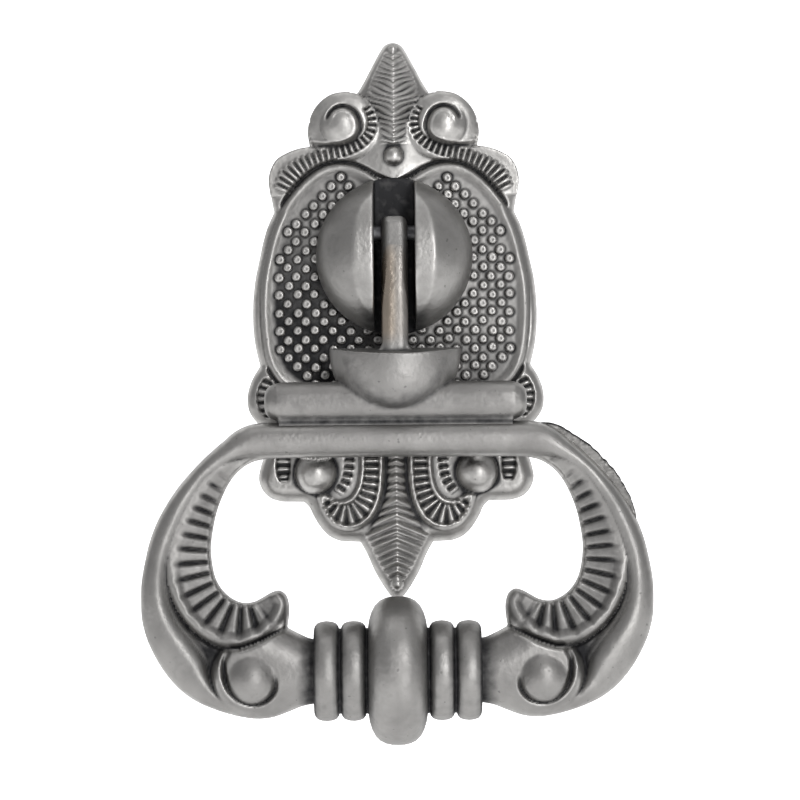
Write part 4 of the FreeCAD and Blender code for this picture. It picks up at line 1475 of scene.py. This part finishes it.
    def leaf_relief(self, height: Array, inward: Array, foot: Array, x: Array, z: Array) -> Array:
        """Lays the ribbed leaf, its rolled rim and the groove beside it over the front.

        Args:
            height: the relief so far.
            inward: the distance in from the edge of the metal.
            foot: the height of the ridge where the leaf meets it.
            x: distance from the axis.
            z: height of each point.

        Returns:
            The relief with the leaf.
        """
        line = self.leaf_line.beside(x, z)
        spine = Route(self.leaf_middle)
        middle = spine.beside(x, z)
        share = inward / np.maximum(inward + line.distance, 1e-6)
        joint = 1.0 - eased(line.along, 21.0, 30.0)
        top = foot * joint + 1.95 * (1.0 - joint)
        low = np.minimum(1.25, top)
        level = (low + (top - low) * eased(share, 0.0, 1.0 - 0.2 * (1.0 - joint))) * rolled(inward / 0.5)
        level = np.maximum(level, self.valley * rolled(inward / 0.8))
        tip = 1.0 - eased(middle.along, spine.length - 2.6, spine.length - 0.8)
        window = eased(share, -0.05, 0.2) * (1.0 - eased(share, 0.5, 0.86))
        window = window * eased(middle.along, 1.5, 9.0) * tip
        sharp = 3.6 - 2.0 * eased(middle.along, 21.0, 29.0)
        valley = wave(middle.along / self.leaf_pitch) ** sharp
        leaf = level - self.leaf_depth * valley * window**0.7
        on_leaf = (line.left < 0) & (x > 12.5) & (z < -25.9)
        height = np.where(on_leaf, np.maximum(leaf, 0.1), height)
        rim = Route(self.leaf_rim).beside(x, z)
        height = height + self.rim_height * bump(rim.distance, 2.0) * eased(rim.along, 0.0, 9.0)
        deep = eased(line.along, 23.0, 32.0) * bump(line.distance, 0.9)
        return height - 0.45 * deep * rolled(inward / 0.8)

    def loop_front(self, x: Array, z: Array) -> Array:
        """The height of the loop's front above its middle plane."""
        height, inward, foot = self.loop_base(x, z, True)
        height = self.leaf_relief(height, inward, foot, x, z)
        spiral = Route(self.snail_groove)
        near = spiral.beside(x, z)
        run_out = 1.0 - 0.35 * eased(near.along, spiral.length - 5.0, spiral.length)
        taper = eased(near.along, 0.0, 2.6) * run_out
        height = height - 1.15 * bump(near.distance, 1.0) * taper
        lip = bump(np.where(near.left < 0, near.distance - 0.6, FAR), 0.7)
        height = height + 0.3 * lip * taper * eased(near.along, 5.0, 8.0)
        ball = 2.1 + 2.9 * cap(x, z, self.snail_ball, self.snail_ball_radius)
        height = np.where(z < -47.0, joined(height, ball, 0.6), height)
        return np.maximum(height, 0.0) * rolled(inward / 0.3)

    def loop_back(self, x: Array, z: Array) -> Array:
        """The height of the loop's plain back below its middle plane."""
        height, inward, _ = self.loop_base(x, z, False)
        return np.maximum(height, 0.0) * rolled(inward / 0.3)

    def loop(self) -> Form:
        """Models the top bar and both arms as one casting.

        Returns:
            The closed loop, open only where the grip covers it.
        """
        front = trimmed_grid(self.outline, (-33.2, -59.7), (33.2, -21.2), self.spacing)
        back = front.copy()
        lay_relief(front, lambda x, z: self.middle + self.loop_front(x, z))
        lay_relief(back, lambda x, z: self.middle - self.loop_back(x, z))
        bmesh.ops.reverse_faces(back, faces=back.faces)
        for half in (front, back):
            for vertex in half.verts:
                if vertex.is_boundary:
                    vertex.co.y = -self.middle
        poured(front, back)
        border = [vertex for vertex in front.verts if vertex.is_boundary]
        bmesh.ops.remove_doubles(front, verts=border, dist=1e-4)
        for line, width in self.flash_lines:
            poured(front, self.flash(line, width))
        return front

    def flash(self, points: Path, reach: float) -> Form:
        """Models a fin of metal that the mould's joint left.

        Args:
            points: where the fin leaves the metal; it stands out to the left of this line.
            reach: how far it stands out at its widest.

        Returns:
            The closed fin, rooted in the metal.
        """
        fin = bmesh.new()
        bmesh.ops.create_grid(fin, x_segments=60, y_segments=4, size=0.5)
        line = through(points, 0.1)
        ahead = np.gradient(line, axis=0)
        ahead /= np.linalg.norm(ahead, axis=1)[:, None]
        random = np.random.default_rng(3)
        torn = random.uniform(0.88, 1.06, 40)
        ragged = np.interp(np.linspace(0.0, 1.0, len(line)), np.linspace(0.0, 1.0, 40), torn)
        for vertex in fin.verts:
            number = round((vertex.co.x + 0.5) * (len(line) - 1))
            share = number / (len(line) - 1)
            width = 0.7 + reach * math.sin(math.pi * share) ** 0.7 * ragged[number]
            out = width * (vertex.co.y + 0.5) - 0.7
            crumple = random.uniform(-0.05, 0.05) - 0.25 * (vertex.co.y + 0.5)
            vertex.co.x = line[number][0] - ahead[number][1] * out
            vertex.co.z = line[number][1] + ahead[number][0] * out
            vertex.co.y = -self.middle + crumple
        bmesh.ops.solidify(fin, geom=list(fin.faces), thickness=0.4)
        bmesh.ops.recalc_face_normals(fin, faces=fin.faces)
        return fin

    def grip(self) -> Form:
        """Models the turned grip.

        Returns:
            The grip with its wide bead, rings and necks.
        """
        half = list(self.bead)
        for centre in self.ring_centres:
            half += [(centre + along, radius) for along, radius in self.ring]
        half += list(self.neck)
        profile = [(-along, radius) for along, radius in half[:0:-1]] + half
        return lathe(tuple(profile), ACROSS, Vector((0.0, -self.middle, self.grip_z)), 128)

    def hanger(self) -> Form:
        """Models the tongue with its eye, the half-moon and the upper bar as one casting.

        Returns:
            One skin with soft corners.
        """
        whole = bmesh.new()
        for part in (self.tongue(), self.half_moon(), self.fillet(), self.upper_bar()):
            poured(whole, part)
        return fused(whole, self.voxel, 2)

    def tongue(self) -> Form:
        """Models the flat bar from the eye down to the half-moon.

        Returns:
            The bar with its long edges rounded.
        """
        half = self.tongue_half
        form = swept([(-half, -depth, z) for z, depth in self.tongue_side], (2 * half, 0.0, 0.0))
        long_edges = [edge for edge in form.edges if abs(edge.verts[0].co.x - edge.verts[1].co.x) < 0.1]
        bmesh.ops.bevel(
            form, geom=long_edges, offset=self.tongue_round, offset_type="OFFSET", segments=6, profile=0.5, affect="EDGES",
            material=-1, clamp_overlap=True,
        )
        return form

    def half_moon(self) -> Form:
        """Models the half-moon below the tongue.

        Returns:
            The half-moon: flat side up, squared shoulders, and full down to its lower rim.
        """
        form = bmesh.new()
        bmesh.ops.create_uvsphere(form, u_segments=128, v_segments=96, radius=1.0)
        for vertex in form.verts:
            low = min(abs(vertex.co.z), 0.999)
            round_half = math.sqrt(1.0 - low * low)
            full_half = (1.0 - low**self.moon_square) ** (1.0 / self.moon_square)
            vertex.co.x *= full_half / max(round_half, 0.05)
            vertex.co.y *= max(round_half, 0.05) ** (self.moon_fullness - 1.0)
        place = Matrix.Translation((0.0, -self.moon_depth, self.moon_top))
        bmesh.ops.transform(form, matrix=place @ Matrix.Diagonal((*self.moon_half, 1.0)), verts=form.verts)
        cut_off(form, (0.0, 0.0, self.moon_top), (0.0, 0.0, 1.0))
        cut_off(form, (0.0, -self.moon_back, 0.0), (0.0, 1.0, 0.0))
        for vertex in form.verts:
            weight = 1.0 + (vertex.co.z - self.moon_top) / self.moon_half[2]
            vertex.co.z += weight * (0.75 * (vertex.co.x / 8.4) ** 2 - 0.35)
        return form

    def fillet(self) -> Form:
        """Models the round corners between the tongue and the half-moon.

        Returns:
            The slab that fills both corners.
        """
        radius, side, top = self.fillet_radius, self.fillet_side, self.fillet_top
        turns = [math.pi / 2 * step / 6 for step in range(7)]
        right = [(side + radius * (1.0 - math.cos(turn)), top + radius * (1.0 - math.sin(turn))) for turn in turns]
        right += [(side + radius, top - 1.0)]
        corners = right + [(-x, z) for x, z in right[::-1]]
        back, front = self.fillet_span
        return swept([(x, -back, z) for x, z in corners], (0.0, back - front, 0.0))

    def upper_bar(self) -> Form:
        """Models the pillow-shaped bar with its tapered ends, and the web to the top bar.

        Returns:
            The bar and the web, which overlap the other forms.
        """
        profile = self.upper_bar_end + tuple((-along, share) for along, share in self.upper_bar_end[::-1])
        form = lathe(profile, ACROSS, ORIGIN, 96)
        place = Matrix.Translation((0.0, -self.middle, self.upper_bar_z))
        shape = place @ Matrix.Diagonal((1.0, *self.upper_bar_half, 1.0))
        bmesh.ops.transform(form, matrix=shape, verts=form.verts)
        web = bmesh.ops.create_cube(form, size=1.0)["verts"]
        place = Matrix.Translation((0.0, -self.middle, self.web_z))
        bmesh.ops.transform(form, matrix=place @ Matrix.Diagonal((*self.web_size, 1.0)), verts=web)
        return form

    def loop_grime_and_shade(self, places: Array) -> dict[str, Array]:
        """The dark finish on the leaf, and painted shade in the pocket below its rim and where the volutes narrow
        to the grip.
        """
        x, z = np.abs(places[:, 0]), places[:, 2]
        line = self.leaf_line.beside(x, z)
        leaf = (line.left < 0) & (x > 12.5) & (z < -25.9) & (-places[:, 1] > self.middle)
        on_leaf = 0.3 * leaf * eased(line.distance, 0.5, 1.4) * eased(line.along, 4.0, 12.0)
        # Painted shade where the volute body narrows to the grip.
        neck = 0.9 * (1.0 - eased(x, 10.8, 13.4)) * (z < -46.0)
        # Painted shade in the pocket between the ridge, the leaf rim and the ball.
        pocket = 0.8 * np.exp(-((x - 23.7) ** 2 + (z + 50.6) ** 2) / 1.6)
        return {"grime_and_shade": on_leaf + neck + pocket}

    def grip_grime_and_shade(self, places: Array) -> dict[str, Array]:
        """Grime between the rings, and painted shade down the sides of the rings and on the flanks of the wide
        bead.
        """
        radius = np.hypot(places[:, 1] + self.middle, places[:, 2] - self.grip_z)
        # Painted shade: the sides of the rings and of the bead are darkened, standing in for the dark room that
        # they reflect.
        rings = 0.12 + 0.88 * (1.0 - eased(radius, 5.6, 6.4))
        flanks = 0.55 * (1.0 - eased(radius, 6.5, 9.1))
        return {"grime_and_shade": np.where(np.abs(places[:, 0]) > 3.7, rings, flanks)}

    @staticmethod
    def hanger_masks(places: Array) -> dict[str, Array]:
        """The painted warm reflection on the tongue, and painted shade under the upper bar and towards the
        half-moon's lower rim.
        """
        x, z = places[:, 0], places[:, 2]
        front = -places[:, 1] > 10.0
        # Painted warm reflection, strongest on the left half of the tongue.
        on_tongue = eased(z, -12.0, -9.5) * (1.0 - eased(z, -1.0, 3.0)) * (np.abs(x) < 1.8) * front
        # Painted shade on the lower side of the upper bar and in the gap above the top bar.
        shade_under_bar = 0.35 * eased(-z, 20.3, 21.0) + 0.5 * bump(z + 21.5, 0.7)
        # Painted shade towards the half-moon's lower rim, where its front turns away.
        on_moon = eased(-z, 12.6, 13.6) * (z > -20.5) * eased(-places[:, 1], 11.4, 12.6)
        rim = 0.6 * eased(np.hypot(x, z + 12.4), 4.8, 7.4) * on_moon
        return {"warm_reflection": on_tongue * (0.15 + 0.5 * (1.0 - eased(x, -0.7, 0.6))), "grime_and_shade": shade_under_bar + rim}

    def build(self, shop: Workshop) -> None:
        """Models and places the bail's pieces."""
        cast = Patina(hollow_depth=0.45, pit_depth=0.22, crest_height=0.16, ridge_share=0.1)
        turned = Patina(fine=0.5, broad=1.6, hollow_depth=0.35, crest_height=0.2, ridge_share=0.1)
        plain = Patina(hollow_depth=0.35, pit_depth=0.2, crest_height=0.12, ridge_share=0.1)
        for form, name, spacing, patina, masks in (
            (self.loop(), "bail_loop", self.spacing, cast, self.loop_grime_and_shade),
            (self.grip(), "bail_grip", 0.42, turned, self.grip_grime_and_shade),
            (self.hanger(), "bail_hanger", self.voxel, plain, self.hanger_masks),
        ):
            shop.place(form, name, Body.BAIL, "bail_handle", spacing, patina=patina, masks=masks)


@dataclass
class Studio:
    """The camera, the soft lights and the white surroundings."""

    distance: float = 0.4
    width: float = 0.104
    centre: Spot = (0.00057, -0.0187)
    roll: float = 0.5
    front: float = -0.004
    surround: float = 0.5

    def camera(self) -> None:
        """Sets the camera where the photograph was taken from."""
        data = bpy.data.cameras.new("camera")
        data.sensor_width = 36.0
        data.lens = data.sensor_width * self.distance / self.width
        data.clip_start, data.clip_end = 0.01, 10.0
        camera = bpy.data.objects.new("camera", data)
        place = Matrix.Translation((self.centre[0], self.front - self.distance, self.centre[1]))
        camera.matrix_world = place @ UPRIGHT @ Matrix.Rotation(math.radians(-self.roll), 4, "Z")
        bpy.context.scene.collection.objects.link(camera)
        bpy.context.scene.camera = camera

    def lamp(self, name: str, place: Triple, size: Spot, power: float) -> None:
        """Hangs one soft box that faces the handle.

        Args:
            name: the lamp's name.
            place: where it hangs, in metres.
            size: its width and height.
            power: its power in watts.
        """
        data = bpy.data.lights.new(name, "AREA")
        data.shape = "RECTANGLE"
        data.size, data.size_y = size
        data.energy = power
        lamp = bpy.data.objects.new(name, data)
        aim = Vector((0.0, 0.0, -0.018)) - Vector(place)
        lamp.matrix_world = Matrix.Translation(place) @ aim.to_track_quat("-Z", "Y").to_matrix().to_4x4()
        bpy.context.scene.collection.objects.link(lamp)

    def white(self, name: str) -> bpy.types.Material:
        """A matt surface that the camera and the reflections see as white."""
        material = bpy.data.materials.new(name)
        material.use_nodes = True
        nodes, links = material.node_tree.nodes, material.node_tree.links
        surface = nodes["Principled BSDF"]
        surface.inputs["Base Color"].default_value = (0.85, 0.85, 0.85, 1.0)
        surface.inputs["Roughness"].default_value = 0.9
        surface.inputs["Emission Color"].default_value = (1.0, 1.0, 1.0, 1.0)
        path = nodes.new("ShaderNodeLightPath")
        seen = nodes.new("ShaderNodeMath")
        seen.operation = "MULTIPLY_ADD"
        seen.inputs[1].default_value = 0.85
        links.new(path.outputs["Is Glossy Ray"], seen.inputs[0])
        links.new(path.outputs["Is Camera Ray"], seen.inputs[2])
        links.new(seen.outputs[0], surface.inputs["Emission Strength"])
        return material

    def surroundings(self) -> None:
        """Lays the floor and stands the backdrop well behind the handle."""
        material = self.white("white_card")
        for name, place, turn in (
            ("floor", (0.0, 0.0, -0.16), 0.0),
            ("backdrop", (0.0, 0.45, 0.4), math.pi / 2),
        ):
            sheet = bmesh.new()
            bmesh.ops.create_grid(sheet, x_segments=1, y_segments=1, size=0.9)
            spot = Matrix.Translation(place) @ Matrix.Rotation(turn, 4, "X")
            bmesh.ops.transform(sheet, matrix=spot, verts=sheet.verts)
            mesh = bpy.data.meshes.new(name)
            sheet.to_mesh(mesh)
            sheet.free()
            mesh.materials.append(material)
            item = bpy.data.objects.new(name, mesh)
            bpy.context.scene.collection.objects.link(item)

    def world(self) -> None:
        """Fills the room with even light, white only where the camera looks past everything."""
        world = bpy.data.worlds.new("room")
        bpy.context.scene.world = world
        world.use_nodes = True
        nodes, links = world.node_tree.nodes, world.node_tree.links
        background = nodes["Background"]
        path = nodes.new("ShaderNodeLightPath")
        mix = nodes.new("ShaderNodeMix")
        mix.data_type = "RGBA"
        level = self.surround
        mix.inputs[6].default_value = (level, level, level * 1.01, 1.0)
        mix.inputs[7].default_value = (1.0, 1.0, 1.0, 1.0)
        links.new(path.outputs["Is Camera Ray"], mix.inputs[0])
        links.new(mix.outputs[2], background.inputs["Color"])

    def build(self) -> None:
        """Sets up the whole studio."""
        self.camera()
        self.surroundings()
        self.world()
        self.lamp("key", (0.165, -0.53, 0.1), (0.07, 0.5), 1.55)
        self.lamp("top", (0.0, -0.12, 0.42), (0.4, 0.2), 0.3)
        scene = bpy.context.scene
        scene.view_settings.view_transform = "Standard"


def main() -> None:
    """Builds the handle piece by piece, then the studio round it."""
    logging.basicConfig(level=logging.INFO, format="%(name)s: %(message)s")
    Studio().build()
    shop = Workshop()
    Backplate().build(shop)
    SlottedPost().build(shop)
    Bail().build(shop)


if __name__ == "__main__":
    main()
